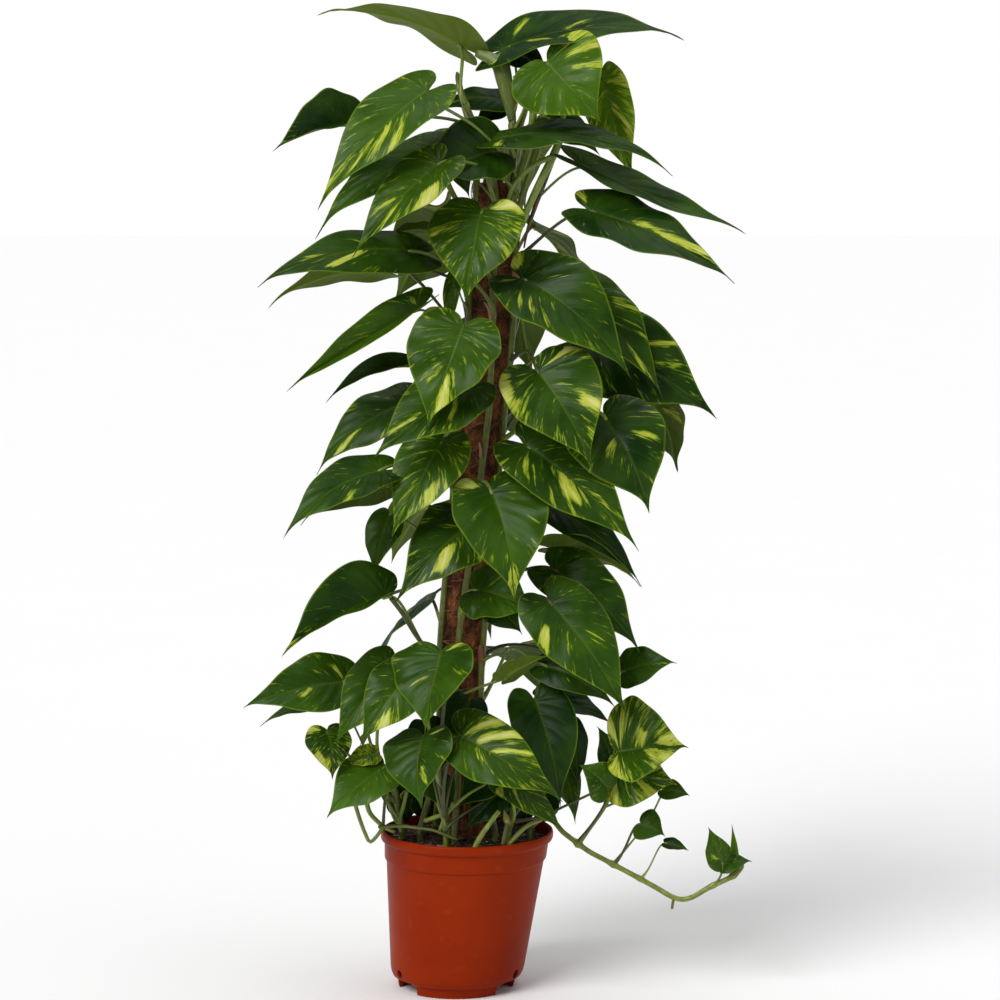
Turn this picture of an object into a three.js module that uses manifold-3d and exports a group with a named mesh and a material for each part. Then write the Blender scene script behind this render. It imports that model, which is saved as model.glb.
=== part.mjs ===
// A golden pothos in a terracotta coloured nursery pot, climbing a coir pole.
// Millimetres, +Z up, the front faces -Y. The floor is z = 0.
import * as THREE from "three";
import { mergeVertices } from "three/addons/utils/BufferGeometryUtils.js";
import Module from "manifold-3d";

const wasm = await Module();
wasm.setup();

// The pot's foot centre, from the middle of the floor space that the plant takes up
const POT_PLACE = [-41, -14];

// Pot: a moulded plastic nursery pot of nominal 17 cm, pressed a little out of true, so that
// its foot stands to the left of its rim
const POT_HEIGHT = 160;
const RIM_RADIUS = 86.6;
const FOOT_RADIUS = 58;
const FOOT_WIDTH = 3.5;
const FOOT_TURN = 1;
const FLOOR_UNDER = 13;
const FLOOR_THICK = 2;
const FOOT_SHIFT = -5;
const SKEW = 0.073;
const NOTCH_HEIGHT = 12.5;
const NOTCH_WIDTH = 36;
const NOTCH_DEPTH = 20;
const DRAIN_RADIUS = 4.5;
const DRAIN_COUNT = 3;
const DRAIN_LEVEL = 19;
const DRAIN_DEPTH = 12;
const DRAIN_SIDES = 8;
const POT_SIDES = 30;

// Soil
const SOIL_TOP = 154;
const SOIL_FLOOR = 16.5;
const SOIL_EDGE = 150;
const SOIL_RADIUS = 80.1;
const SOIL_SHOULDER = [60, 152.6];
const HOLE_PLAY = 1.2;
const POLE_PLAY = 0.9;
const HOLE_SIDES = 8;
const ROOT_DEPTH = 114;

// Coir pole, which bends to the right half way up
const POLE_FOOT = 34;
const POLE_TOP = 806;
const COIR_RADIUS = 21;
const COIR_SIDES = 12;
const CORE_RADIUS = 10;
const CORE_SIDES = 8;
const CORE_PROUD = 10;
const CORE_BORE = 7.5;
const POLE_START_X = 1;
const POLE_BEND = 32;
const BEND_FROM = 290;
const BEND_TO = 750;
const GAP = 0.6;
const POLE_STEPS = 13;

// Stems: the levels where they stand straight, how finely they are cut along, how close their
// guide points are on the climb, and how far out and how low they start to near the pole
const STEM_FOOT = [ROOT_DEPTH, 152, 164];
const STEM_SIDES = 5;
const STEM_STEP = 45;
const CLIMB_STEP = 30;
const APPROACH = 7;
const APPROACH_RISE = 60;

// Leaves: the half outline of a heart shaped blade, as shares of its length and width, and
// where on the midrib the row to each outline point starts
const BLADE_THICK = 0.8;
const BLADE_EDGE = [
  [-0.12, 0.08],
  [-0.15, 0.27],
  [0.0, 0.45],
  [0.26, 0.5],
  [0.54, 0.38],
  [0.82, 0.13],
];
const RIB_START = [0, 0, 0, 0.16, 0.42, 0.74];
const PETIOLE_ROOT = 0.05;
const PETIOLE_SINK = 0.05;
const BEHIND = 1.2;
const PETIOLE_RADIUS = 2;
const PETIOLE_SIDES = 3;

// The front view that the places below are given in: u is millimetres right of the pot's foot,
// v is millimetres above the floor, both as seen from the eye at the pole's distance
const EYE = { x: 39.4, y: -3100, z: 840, pitch: 6.4, focal: 3140, u: 39, v: 488 };

// Stems: where each stands in the soil, its climb as [height, turn round the pole in degrees,
// 0 at the front and 90 at the right], and its free end as [u, v, millimetres to the front]
const STEMS = {
  vine_front: {
    radius: 3.3,
    stand: [-6, -42],
    climb: [[215, -6], [330, -14], [450, 4], [580, 12], [700, 2], [800, 4]],
    end: [[22, 842, 30], [6, 880, 30], [-4, 906, 24]],
  },
  vine_left: {
    radius: 3.3,
    stand: [-40, -22],
    climb: [[215, -58], [330, -66], [450, -58], [560, -66], [660, -62], [732, -66]],
    end: [],
  },
  vine_right: {
    radius: 3.3,
    stand: [34, -30],
    climb: [[215, 46], [330, 52], [450, 62], [580, 56], [700, 64], [800, 52]],
    end: [[50, 842, 24], [51, 870, 24], [45, 904, 24], [39, 925, 20], [16, 934, 14]],
  },
  vine_back_left: {
    radius: 3.1,
    stand: [-26, 34],
    climb: [[215, -138], [330, -146], [450, -134], [580, -142], [700, -136], [800, -140]],
    end: [[12, 848, -24], [2, 886, -36], [-4, 916, -42]],
  },
  vine_back_right: {
    radius: 3.1,
    stand: [28, 34],
    climb: [[215, 138], [330, 130], [450, 142], [580, 134], [700, 140], [800, 136]],
    end: [[56, 848, -22], [66, 884, -30]],
  },
  shoot_left: {
    radius: 2.7,
    stand: [-58, -14],
    climb: [],
    end: [[-61, 168, 17], [-66, 196, 22], [-74, 226, 26]],
  },
  shoot_front: {
    radius: 2.7,
    stand: [-14, -62],
    climb: [],
    end: [[-15, 168, 64], [-18, 192, 68], [-22, 214, 72]],
  },
  shoot_right: {
    radius: 2.7,
    stand: [48, -44],
    climb: [],
    end: [[50, 168, 46], [55, 194, 50], [62, 216, 52]],
  },
  shoot_back: {
    radius: 2.7,
    stand: [6, 60],
    climb: [],
    end: [[7, 168, -62], [10, 194, -68], [12, 222, -74]],
  },
  runner: {
    radius: 2.8,
    stand: [68.8, -17.5],
    climb: [],
    end: [[69, 160, 18], [80, 169, 20], [92, 167, 22], [102, 156, 25], [115, 146, 26], [129, 136, 28],
      [146, 127, 30], [176, 111, 33], [194, 101, 35], [214, 90, 36], [229, 90, 36], [249, 101, 34],
      [270, 111, 32], [280, 120, 31], [281, 127, 30]],
  },
};

// Leaves seen from the front: from is the height on the stem (or u, on the runner) where the
// petiole starts, base and tip are [u, v, millimetres to the front], wide is the blade's width,
// and lift is the angle in degrees by which its upper face turns from the eye to the sky
const LEAVES = {
  vine_front: [
    { from: 880, base: [2, 941, 0], tip: [-136, 977, 50], wide: 74, lift: 112 },
    { from: 850, base: [-104, 863, 35], tip: [-184, 841, 72], wide: 54, lift: 45, keel: 1.0 },
    { from: 842, base: [-21, 840, 27], tip: [-141, 759, 62], wide: 70, lift: 50 },
    { from: 676, base: [-46, 736, 60], tip: [-196, 708, 98], wide: 66, lift: 48 },
    { from: 770, base: [21, 777, 75], tip: [5, 690, 105], wide: 96, lift: 20 },
    { from: 640, base: [2, 660, 101], tip: [-33, 565, 129], wide: 92, lift: 20 },
    { from: 590, base: [9, 603, 85], tip: [-85, 534, 118], wide: 75, lift: 30 },
    { from: 505, base: [29, 498, 88], tip: [53, 393, 118], wide: 92, lift: 15 },
    { from: 455, base: [16, 469, 66], tip: [-62, 392, 106], wide: 78, lift: 25 },
    { from: 385, base: [14, 398, 66], tip: [73, 376, 85], wide: 62, lift: 20, wave: 2 },
    { from: 290, base: [44, 310, 50], tip: [88, 332, 65], wide: 40, lift: 118 },
  ],
  vine_left: [
    { from: 700, base: [-76, 716, 40], tip: [-188, 686, 80], wide: 48, lift: 112 },
    { from: 640, base: [-42, 680, 62], tip: [-168, 604, 100], wide: 34, lift: 48, keel: 1.1,
      twist: 0.5, arch: 0.02 },
    { from: 600, base: [-54, 622, 48], tip: [-132, 590, 76], wide: 24, lift: 45, keel: 1.0 },
    { from: 565, base: [-48, 588, 38], tip: [-141, 521, 60], wide: 62, lift: 38 },
    { from: 530, base: [-18, 548, 75], tip: [-68, 455, 105], wide: 70, lift: 20 },
    { from: 505, base: [-78, 518, 84], tip: [-174, 457, 112], wide: 54, lift: 42 },
    { from: 470, base: [-75, 502, 45], tip: [-157, 468, 65], wide: 46, lift: 124 },
    { from: 440, base: [-72, 471, 35], tip: [-86, 415, 50], wide: 38, lift: 20 },
    { from: 330, base: [-73, 392, 70], tip: [-175, 338, 105], wide: 64, lift: 48, keel: 1.1 },
  ],
  vine_right: [
    { from: 888, base: [42, 939, 10], tip: [214, 954, 50], wide: 78, lift: 58 },
    { from: 850, base: [86, 926, 55], tip: [138, 869, 80], wide: 98, lift: 10 },
    { from: 820, base: [44, 850, 54], tip: [204, 821, 80], wide: 60, lift: 65 },
    { from: 860, base: [44, 888, 4], tip: [-24, 878, 2], wide: 45, lift: 60 },
    { from: 780, base: [-34, 897, 75], tip: [-139, 788, 118], wide: 72, lift: 38,
      via: [[47, 812, 32], [47, 828, 38], [37, 839, 44], [9, 865, 58]] },
    { from: 790, base: [34, 836, 46], tip: [-48, 812, 80], wide: 72, lift: 25, keel: 0.5 },
    { from: 770, base: [-20, 826, 90], tip: [-105, 738, 128], wide: 60, lift: 35 },
    { from: 766, base: [120, 824, 40], tip: [278, 760, 70], wide: 42, lift: 60, arch: -0.03 },
    { from: 728, base: [130, 778, 60], tip: [267, 712, 92], wide: 70, lift: 43, arch: 0.04 },
    { from: 690, base: [60, 710, 72], tip: [166, 618, 102], wide: 86, lift: 28 },
    { from: 676, base: [100, 704, 40], tip: [198, 600, 72], wide: 78, lift: 40 },
    { from: 630, base: [76, 617, 95], tip: [129, 526, 125], wide: 96, lift: 15 },
    { from: 550, base: [143, 572, 76], tip: [187, 482, 96], wide: 98, lift: 20 },
    { from: 510, base: [64, 543, 80], tip: [173, 446, 110], wide: 78, lift: 25 },
    { from: 440, base: [92, 440, 35], tip: [176, 407, 50], wide: 50, lift: 118 },
    { from: 400, base: [92, 419, 52], tip: [176, 341, 70], wide: 66, lift: 25 },
    { from: 370, base: [88, 387, 92], tip: [163, 280, 118], wide: 76, lift: 15 },
    { from: 480, base: [84, 486, 26], tip: [177, 409, 40], wide: 46, lift: 25 },
  ],
  vine_back_right: [
    { from: 850, base: [141, 908, 0], tip: [172, 812, 15], wide: 54, lift: -25 },
    { from: 810, base: [87, 870, 30], tip: [137, 836, 45], wide: 42, lift: 30 },
    { from: 605, base: [124, 646, 8], tip: [250, 577, 38], wide: 102, lift: 24 },
    { from: 570, base: [188, 592, 6], tip: [216, 521, 20], wide: 78, lift: 130 },
    { from: 330, base: [163, 316, 40], tip: [213, 326, 50], wide: 44, lift: 30 },
  ],
  shoot_left: [
    { from: 214, base: [-114, 307, 45], tip: [-213, 284, 70], wide: 66, lift: 30 },
    { from: 200, base: [-130, 286, 30], tip: [-198, 265, 45], wide: 26, lift: 50 },
    { from: 220, base: [-69, 323, 72], tip: [-124, 248, 96], wide: 60, lift: 15 },
    { from: 190, base: [-134, 257, 70], tip: [-129, 211, 80], wide: 48, lift: 20 },
    { from: 165, base: [-80, 219, 60], tip: [-132, 174, 85], wide: 60, lift: 30 },
    { from: 175, base: [-86, 234, 50], tip: [-118, 223, 60], wide: 26, lift: 30 },
  ],
  shoot_front: [
    { from: 205, base: [-51, 316, 92], tip: [-99, 248, 114], wide: 60, lift: 20 },
    { from: 208, base: [-20, 334, 98], tip: [-36, 261, 132], wide: 90, lift: 32 },
    { from: 190, base: [-38, 251, 92], tip: [-40, 184, 120], wide: 76, lift: 30 },
    { from: 180, base: [-1, 253, 96], tip: [97, 192, 122], wide: 68, lift: 20 },
  ],
  shoot_right: [
    { from: 175, base: [42, 210, 86], tip: [101, 158, 102], wide: 40, lift: 30 },
    { from: 205, base: [74, 288, 56], tip: [99, 188, 78], wide: 65, lift: 10 },
    { from: 212, base: [80, 290, 20], tip: [149, 266, 34], wide: 45, lift: 50 },
    { from: 175, base: [146, 200, 64], tip: [119, 223, 70], wide: 42, lift: 20,
      via: [[82, 172, 44], [104, 182, 52]] },
  ],
  shoot_back: [
    { from: 176, base: [-62, 206, -48], tip: [-52, 172, -56], wide: 50, lift: 20 },
    { from: 186, base: [-18, 214, -52], tip: [-16, 172, -60], wide: 56, lift: 15 },
    { from: 190, base: [30, 214, -52], tip: [36, 172, -60], wide: 56, lift: 15 },
    { from: 180, base: [76, 206, -46], tip: [74, 172, -54], wide: 48, lift: 20 },
  ],
  runner: [
    { from: 117, base: [158, 236, 52], tip: [224, 242, 60], wide: 98, lift: 35, keel: 0.7,
      via: [[144, 181, 38], [155, 212, 46]] },
    { from: 117, base: [153, 215, 34], tip: [214, 205, 44], wide: 68, lift: 20, via: [[142, 180, 37]] },
    { from: 117, base: [151, 223, 22], tip: [137, 261, 26], wide: 30, lift: 30, via: [[142, 180, 34]] },
    { from: 152, base: [202, 199, 38], tip: [228, 193, 44], wide: 22, lift: 20, via: [[186, 166, 30]] },
    { from: 152, base: [180, 164, 40], tip: [203, 153, 46], wide: 36, lift: 20 },
    { from: 178, base: [205, 145, 38], tip: [227, 138, 42], wide: 14, lift: 30 },
    { from: 250, base: [262, 124, 38], tip: [248, 160, 42], wide: 28, lift: 10 },
    { from: 270, base: [262, 122, 34], tip: [290, 127, 36], wide: 22, lift: 30 },
    { from: 272, base: [274, 125, 30], tip: [271, 163, 30], wide: 8, lift: 0, keel: 0.8 },
  ],
};

// Leaves on the unseen side, set by a rule: from and to heights on the stem, how many, and the
// turns round the pole between which they fan out
const BACK_LEAVES = {
  vine_back_left: { low: 250, high: 820, count: 7, turns: [-138, -160], long: 122, wide: 78 },
  vine_back_right: { low: 285, high: 815, count: 7, turns: [142, 172], long: 122, wide: 78 },
};

const radians = (degrees) => (degrees * Math.PI) / 180;

// A number from 0 to 1, always the same for the same seed
function draw(seed) {
  const value = Math.sin(seed * 12.9898) * 43758.5453;
  return value - Math.floor(value);
}

// A place in the front view, carried along the line of sight to its depth
function sight([u, v, front]) {
  const pitch = radians(EYE.pitch);
  const across = (u - EYE.u) / EYE.focal;
  const up = (v - EYE.v) / EYE.focal;
  const away = Math.cos(pitch) + up * Math.sin(pitch);
  const rise = up * Math.cos(pitch) - Math.sin(pitch);
  const reach = (-front - EYE.y) / away;
  return new THREE.Vector3(EYE.x + across * reach, -front, EYE.z + rise * reach);
}

// The pole's axis at a height
function poleAxis(z) {
  const bend = THREE.MathUtils.smoothstep(z, BEND_FROM, BEND_TO);
  return new THREE.Vector3(POLE_START_X + POLE_BEND * bend, 0, z);
}

// A point beside the pole: radius from its axis, turned round it from the front
function besidePole(z, turn, radius) {
  const angle = radians(turn);
  return poleAxis(z).add(new THREE.Vector3(Math.sin(angle), -Math.cos(angle), 0).multiplyScalar(radius));
}

// A closed geometry as a solid for joining and cutting
function toSolid(geometry) {
  const bare = geometry.clone();
  bare.deleteAttribute("normal");
  bare.deleteAttribute("uv");
  const merged = mergeVertices(bare, 1e-4);
  return new wasm.Manifold(new wasm.Mesh({
    numProp: 3,
    vertProperties: new Float32Array(merged.attributes.position.array),
    triVerts: new Uint32Array(merged.index.array),
  }));
}

function toGeometry(solid) {
  const { vertProperties, triVerts } = solid.getMesh();
  const geometry = new THREE.BufferGeometry();
  geometry.setAttribute("position", new THREE.BufferAttribute(vertProperties, 3));
  geometry.setIndex(new THREE.BufferAttribute(triVerts, 1));
  geometry.computeVertexNormals();
  return geometry;
}

const joinAll = (solids) => solids.reduce((whole, solid) => whole.add(solid));

// The outer body of a join, without the hollows and scraps that crossing leaves close off
const outerBody = (solid) => solid.decompose().reduce((a, b) => (b.volume() > a.volume() ? b : a));

// A turned solid from a profile of [radius, height] points, standing on the z axis
function turned(profile, sides) {
  const points = profile.map(([radius, height]) => new THREE.Vector2(radius, height));
  return new THREE.LatheGeometry(points, sides).rotateX(Math.PI / 2);
}

// The lean of the pot and its soil: each level slides sideways with its height
function skewed(geometry) {
  return geometry.applyMatrix4(new THREE.Matrix4().makeShear(0, 0, 0, 0, SKEW, 0)).translate(FOOT_SHIFT, 0, 0);
}

// A round outline with a few sides, to sweep along a curve
function ringShape(radius, sides, bore = 0) {
  const corner = (size) => (_, i) => {
    const angle = (2 * Math.PI * i) / sides;
    return new THREE.Vector2(size * Math.cos(angle), size * Math.sin(angle));
  };
  const shape = new THREE.Shape(Array.from({ length: sides }, corner(radius)));
  if (bore) shape.holes.push(new THREE.Path(Array.from({ length: sides }, corner(bore)).reverse()));
  return shape;
}

function swept(curve, shape, steps) {
  return new THREE.ExtrudeGeometry(shape, { steps, extrudePath: curve, bevelEnabled: false });
}

function makePot() {
  const profile = [
    [0, FLOOR_UNDER], [FOOT_RADIUS - FOOT_WIDTH, FLOOR_UNDER - 3], [FOOT_RADIUS - FOOT_WIDTH, 0],
    [FOOT_RADIUS, 0], [60.5, 10], [64.5, 12], [67.6, 21], [79.4, 131], [81.3, 132.6], [82.6, 150],
    [RIM_RADIUS - 1, 151], [RIM_RADIUS, 154], [RIM_RADIUS - 0.6, 159], [84.4, POT_HEIGHT],
    [82.4, 158.6], [78.2, 131], [63.6, 15.5], [0, FLOOR_UNDER + FLOOR_THICK],
  ];
  const turn = (i) => FOOT_TURN + (360 * (i + 0.5)) / DRAIN_COUNT;
  const cuts = Array.from({ length: DRAIN_COUNT }, (_, i) => potCuts(turn(i))).flat();
  const body = cuts.reduce((pot, cut) => pot.subtract(cut), toSolid(turned(profile, POT_SIDES)));
  return skewed(toGeometry(body));
}

// The notch between two feet and the drain hole over it, turned from the front
function potCuts(turn) {
  const notch = new THREE.BoxGeometry(NOTCH_WIDTH, NOTCH_DEPTH, 2 * NOTCH_HEIGHT);
  const drain = new THREE.CylinderGeometry(DRAIN_RADIUS, DRAIN_RADIUS, DRAIN_DEPTH, DRAIN_SIDES);
  const cuts = [notch.translate(0, -FOOT_RADIUS, 0), drain.translate(0, -FOOT_RADIUS - 8, DRAIN_LEVEL)];
  return cuts.map((geometry) => toSolid(geometry.rotateZ(radians(turn))));
}

function makeSoil() {
  const profile = [
    [0, SOIL_FLOOR], [62.4, SOIL_FLOOR], [77.4, 131], [SOIL_RADIUS, SOIL_EDGE], SOIL_SHOULDER, [0, SOIL_TOP],
  ];
  const whole = toSolid(skewed(turned(profile, POT_SIDES)));
  const holes = Object.values(STEMS).map(({ stand, radius }) => soilHole(stand, radius + HOLE_PLAY));
  const sheath = ringShape(COIR_RADIUS + POLE_PLAY, COIR_SIDES);
  const poleHole = toSolid(swept(poleCurve(POLE_FOOT - 1, POLE_TOP), sheath, POLE_STEPS));
  return toGeometry([...holes, poleHole].reduce((soil, hole) => soil.subtract(hole), whole));
}

function soilHole([x, y], radius) {
  const depth = 2 * (SOIL_TOP - ROOT_DEPTH + 1);
  const hole = new THREE.CylinderGeometry(radius, radius, depth, HOLE_SIDES).rotateX(Math.PI / 2);
  return toSolid(hole.translate(x, y, SOIL_TOP));
}

function poleCurve(low, high) {
  const levels = Array.from({ length: POLE_STEPS + 1 }, (_, i) => low + ((high - low) * i) / POLE_STEPS);
  return new THREE.CatmullRomCurve3(levels.map(poleAxis), false, "catmullrom", 0.5);
}

function makeCoir() {
  const wrap = ringShape(COIR_RADIUS, COIR_SIDES, CORE_RADIUS + 2 * GAP);
  return swept(poleCurve(POLE_FOOT, POLE_TOP), wrap, POLE_STEPS);
}

function makeCore() {
  const curve = poleCurve(POLE_FOOT, POLE_TOP + CORE_PROUD);
  const rod = toSolid(swept(curve, ringShape(CORE_RADIUS, CORE_SIDES), POLE_STEPS));
  const mouth = new THREE.CylinderGeometry(CORE_BORE, CORE_BORE, 2 * CORE_PROUD, CORE_SIDES);
  const top = poleAxis(POLE_TOP + CORE_PROUD);
  return toGeometry(rod.subtract(toSolid(mouth.rotateX(Math.PI / 2).translate(top.x, top.y, top.z))));
}

// Points up a climb, close enough together to follow the pole, which they near from outside
function climbPoints(climb, radius) {
  return climb.flatMap(([z, turn], i) => {
    const [nextZ, nextTurn] = climb[i + 1] ?? [z, turn];
    const count = Math.max(1, Math.round((nextZ - z) / CLIMB_STEP));
    return Array.from({ length: count }, (_, k) => {
      const level = z + ((nextZ - z) * k) / count;
      const away = Math.max(0, 1 - (level - climb[0][0]) / APPROACH_RISE);
      return besidePole(level, turn + ((nextTurn - turn) * k) / count, radius + APPROACH * away * away);
    });
  });
}

// The line of a stem: straight up out of the soil, up beside the pole, then its free end
function stemCurve({ radius, stand: [x, y], climb, end }) {
  const rooted = STEM_FOOT.map((z) => new THREE.Vector3(x, y, z));
  const held = climbPoints(climb, COIR_RADIUS + radius + GAP);
  return new THREE.CatmullRomCurve3([...rooted, ...held, ...end.map(sight)], false, "catmullrom", 0.5);
}

// The point of a stem at a height, or on the runner at a distance to the right
function stemPoint(curve, axis, level) {
  const points = curve.getSpacedPoints(200);
  return points.find((point) => point[axis] >= level) ?? points[points.length - 1];
}

// A leaf's place and form: its axes, sizes and the draws that bend it
function setLeaf({ base, tip, wide, lift, keel, arch, via, twist = 0, wave = 1 }, towards, seed) {
  const along = tip.clone().sub(base);
  const length = along.length();
  along.normalize();
  const facing = towards.clone().addScaledVector(along, -towards.dot(along)).normalize();
  const upward = along.clone().cross(facing);
  if (upward.z < 0) upward.negate();
  const angle = radians(lift);
  const normal = facing.multiplyScalar(Math.cos(angle)).addScaledVector(upward, Math.sin(angle));
  return {
    base, along, normal, length, wide, via,
    side: along.clone().cross(normal),
    arch: arch ?? 0.06 + 0.07 * draw(seed + 0.1),
    sweep: 0.05 * (draw(seed + 0.2) - 0.5),
    keel: keel ?? 0.16 + 0.2 * draw(seed + 0.3),
    cup: 0.1 + 0.22 * draw(seed + 0.4),
    twist: twist + 0.5 * (draw(seed + 0.5) - 0.5),
    wave: wave * (0.02 + 0.03 * draw(seed + 0.6)),
    waves: 1.5 + 1.2 * draw(seed + 0.7),
    phase: 6.3 * draw(seed + 0.8),
  };
}

// A point of the blade's middle surface: s along its length from the notch to the tip,
// w across it as a share of its width
function bladePoint(leaf, s, w) {
  const bow = 4 * s * (1 - s);
  const across = w * leaf.wide;
  const ripple = leaf.wave * leaf.wide * 4 * w * w
    * Math.sin(2 * Math.PI * leaf.waves * s + leaf.phase + (w > 0 ? 0 : 1.3));
  const height = leaf.wide * (leaf.keel * Math.abs(w) - 2 * leaf.cup * w * w) + ripple;
  const turn = leaf.twist * s;
  const sideways = across * Math.cos(turn) - height * Math.sin(turn) + leaf.sweep * leaf.length * bow;
  const raised = across * Math.sin(turn) + height * Math.cos(turn) + leaf.arch * leaf.length * bow;
  return leaf.base.clone()
    .addScaledVector(leaf.along, s * leaf.length)
    .addScaledVector(leaf.side, sideways)
    .addScaledVector(leaf.normal, raised);
}

// The blade's middle surface as points and triangles, with the rim in order round it
function bladeSheet(leaf) {
  const ribs = [...new Set(RIB_START)];
  const points = ribs.map((s) => bladePoint(leaf, s, 0));
  points.push(bladePoint(leaf, 1, 0));
  const tip = points.length - 1;
  const rib = RIB_START.map((s) => ribs.indexOf(s));
  const faces = [];
  const rims = [1, -1].map((hand) => {
    const rim = BLADE_EDGE.map(([s, w]) => points.push(bladePoint(leaf, s, hand * w)) - 1);
    const add = (a, b, c) => faces.push(hand > 0 ? [a, b, c] : [a, c, b]);
    for (let i = 1; i < rim.length; i += 1) {
      add(rib[i - 1], rim[i], rim[i - 1]);
      if (rib[i] !== rib[i - 1]) add(rib[i - 1], rib[i], rim[i]);
    }
    add(rib[rib.length - 1], tip, rim[rim.length - 1]);
    return rim;
  });
  return { points, faces, rim: [0, ...rims[0], tip, ...rims[1].reverse()] };
}

// The blade as a closed solid: its sheet, doubled to both sides and walled round the rim
function makeBlade(leaf) {
  const { points, faces, rim } = bladeSheet(leaf);
  const sheet = new THREE.BufferGeometry().setFromPoints(points);
  sheet.setIndex(faces.flat());
  sheet.computeVertexNormals();
  const count = points.length;
  const normals = sheet.attributes.normal;
  const shifted = (share) => points.map((point, i) =>
    point.clone().addScaledVector(new THREE.Vector3().fromBufferAttribute(normals, i), share * BLADE_THICK));
  const walls = rim.flatMap((a, i) => {
    const b = rim[(i + 1) % rim.length];
    return [a, b, a + count, b, b + count, a + count];
  });
  const solid = new THREE.BufferGeometry().setFromPoints([...shifted(0.5), ...shifted(-0.5)]);
  const under = faces.flatMap(([a, b, c]) => [a + count, c + count, b + count]);
  solid.setIndex([...faces.flat(), ...under, ...walls]);
  return toSolid(solid);
}

// The leaf's stalk: out and up from the stem, then over into the blade along its midrib
function makePetiole(start, leaf) {
  const radius = Math.min(PETIOLE_RADIUS, 0.8 + leaf.wide * 0.02);
  const root = bladePoint(leaf, PETIOLE_ROOT, 0).addScaledVector(leaf.normal, -PETIOLE_SINK * radius);
  const path = leaf.via ? viaPath(start, leaf, root) : archPath(start, leaf, root);
  const steps = leaf.via ? 5 : 4;
  return toSolid(swept(path, ringShape(radius, PETIOLE_SIDES), steps));
}

// A stalk whose blade hangs back towards its start comes into the blade from behind
function archPath(start, leaf, root) {
  const reach = root.clone().sub(start);
  const span = reach.length();
  const back = Math.max(0, 0.3 - reach.dot(leaf.along) / span);
  const inward = leaf.along.clone().addScaledVector(leaf.normal, BEHIND * back).normalize();
  const out = start.clone().sub(poleAxis(start.z)).setZ(0).normalize().multiplyScalar(0.3).setZ(0.24);
  const rise = start.clone().addScaledVector(out, span);
  const fall = root.clone().addScaledVector(inward, -0.24 * span);
  return new THREE.CubicBezierCurve3(start, rise, fall, root);
}

function viaPath(start, leaf, root) {
  const points = [start, ...leaf.via.map(sight), root];
  return new THREE.CatmullRomCurve3(points, false, "catmullrom", 0.5);
}

function frontLeaves(name) {
  return (LEAVES[name] ?? []).map((row, i) => {
    const base = sight(row.base);
    const towards = new THREE.Vector3(EYE.x, EYE.y, EYE.z).sub(base).normalize();
    const leaf = setLeaf({ ...row, base, tip: sight(row.tip) }, towards, name.length + 7 * i);
    return { from: row.from, leaf };
  });
}

function backLeaves(name) {
  const { low, high, count, turns: [first, last], long, wide } = BACK_LEAVES[name] ?? { count: 0, turns: [] };
  return Array.from({ length: count }, (_, i) => {
    const seed = 100 + name.length * 3 + 11 * i;
    const from = low + ((high - low) * i) / (count - 1);
    const turn = first + (last - first) * ((i * 0.62 + 0.2 * draw(seed)) % 1);
    const near = 66 + 26 * draw(seed + 0.15);
    const far = near + long * (0.62 + 0.16 * draw(seed + 0.25));
    const top = from + 34 + 16 * draw(seed + 0.35);
    const fall = long * (0.5 + 0.25 * draw(seed + 0.45));
    const base = besidePole(top, turn, near);
    const tip = besidePole(top - fall, turn + 16 * draw(seed + 0.55) - 8, far);
    const towards = besidePole(0, turn, 1).sub(poleAxis(0)).setZ(0.3).normalize();
    const size = wide * (0.82 + 0.3 * draw(seed + 0.65));
    return { from, leaf: setLeaf({ base, tip, wide: size, lift: 22 + 26 * draw(seed + 0.75) }, towards, seed) };
  });
}

// A stem with all its leaves, fused into one body
function makeVine(name) {
  const curve = stemCurve(STEMS[name]);
  const steps = Math.round(curve.getLength() / STEM_STEP) + 4;
  const stem = toSolid(swept(curve, ringShape(STEMS[name].radius, STEM_SIDES), steps));
  const axis = name === "runner" ? "x" : "z";
  const grown = [...frontLeaves(name), ...backLeaves(name)].flatMap(({ from, leaf }) =>
    [makePetiole(stemPoint(curve, axis, from), leaf), makeBlade(leaf)]);
  return toGeometry(outerBody(joinAll([stem, ...grown])));
}

const PLASTIC = { color: 0x913016, roughness: 0.42, metalness: 0 };
const SOIL = { color: 0x33241a, roughness: 0.98, metalness: 0 };
const COIR = { color: 0x6e3c24, roughness: 0.95, metalness: 0 };
const CORE = { color: 0x141414, roughness: 0.5, metalness: 0 };
const FOLIAGE = { color: 0x365c18, roughness: 0.4, metalness: 0 };

function piece(name, geometry, finish) {
  const mesh = new THREE.Mesh(geometry, new THREE.MeshStandardMaterial(finish));
  mesh.name = name;
  return mesh;
}

const plant = new THREE.Group();
plant.position.set(...POT_PLACE, 0);
plant.add(
  piece("pot", makePot(), PLASTIC),
  piece("soil", makeSoil(), SOIL),
  piece("pole_coir", makeCoir(), COIR),
  piece("pole_core", makeCore(), CORE),
  ...Object.keys(STEMS).map((name) => piece(name, makeVine(name), FOLIAGE)),
);

export default plant;
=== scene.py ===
"""A golden pothos on a coir pole in a nursery pot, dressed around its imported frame."""

import logging
import math
from dataclasses import dataclass, field
from enum import Enum

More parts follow.
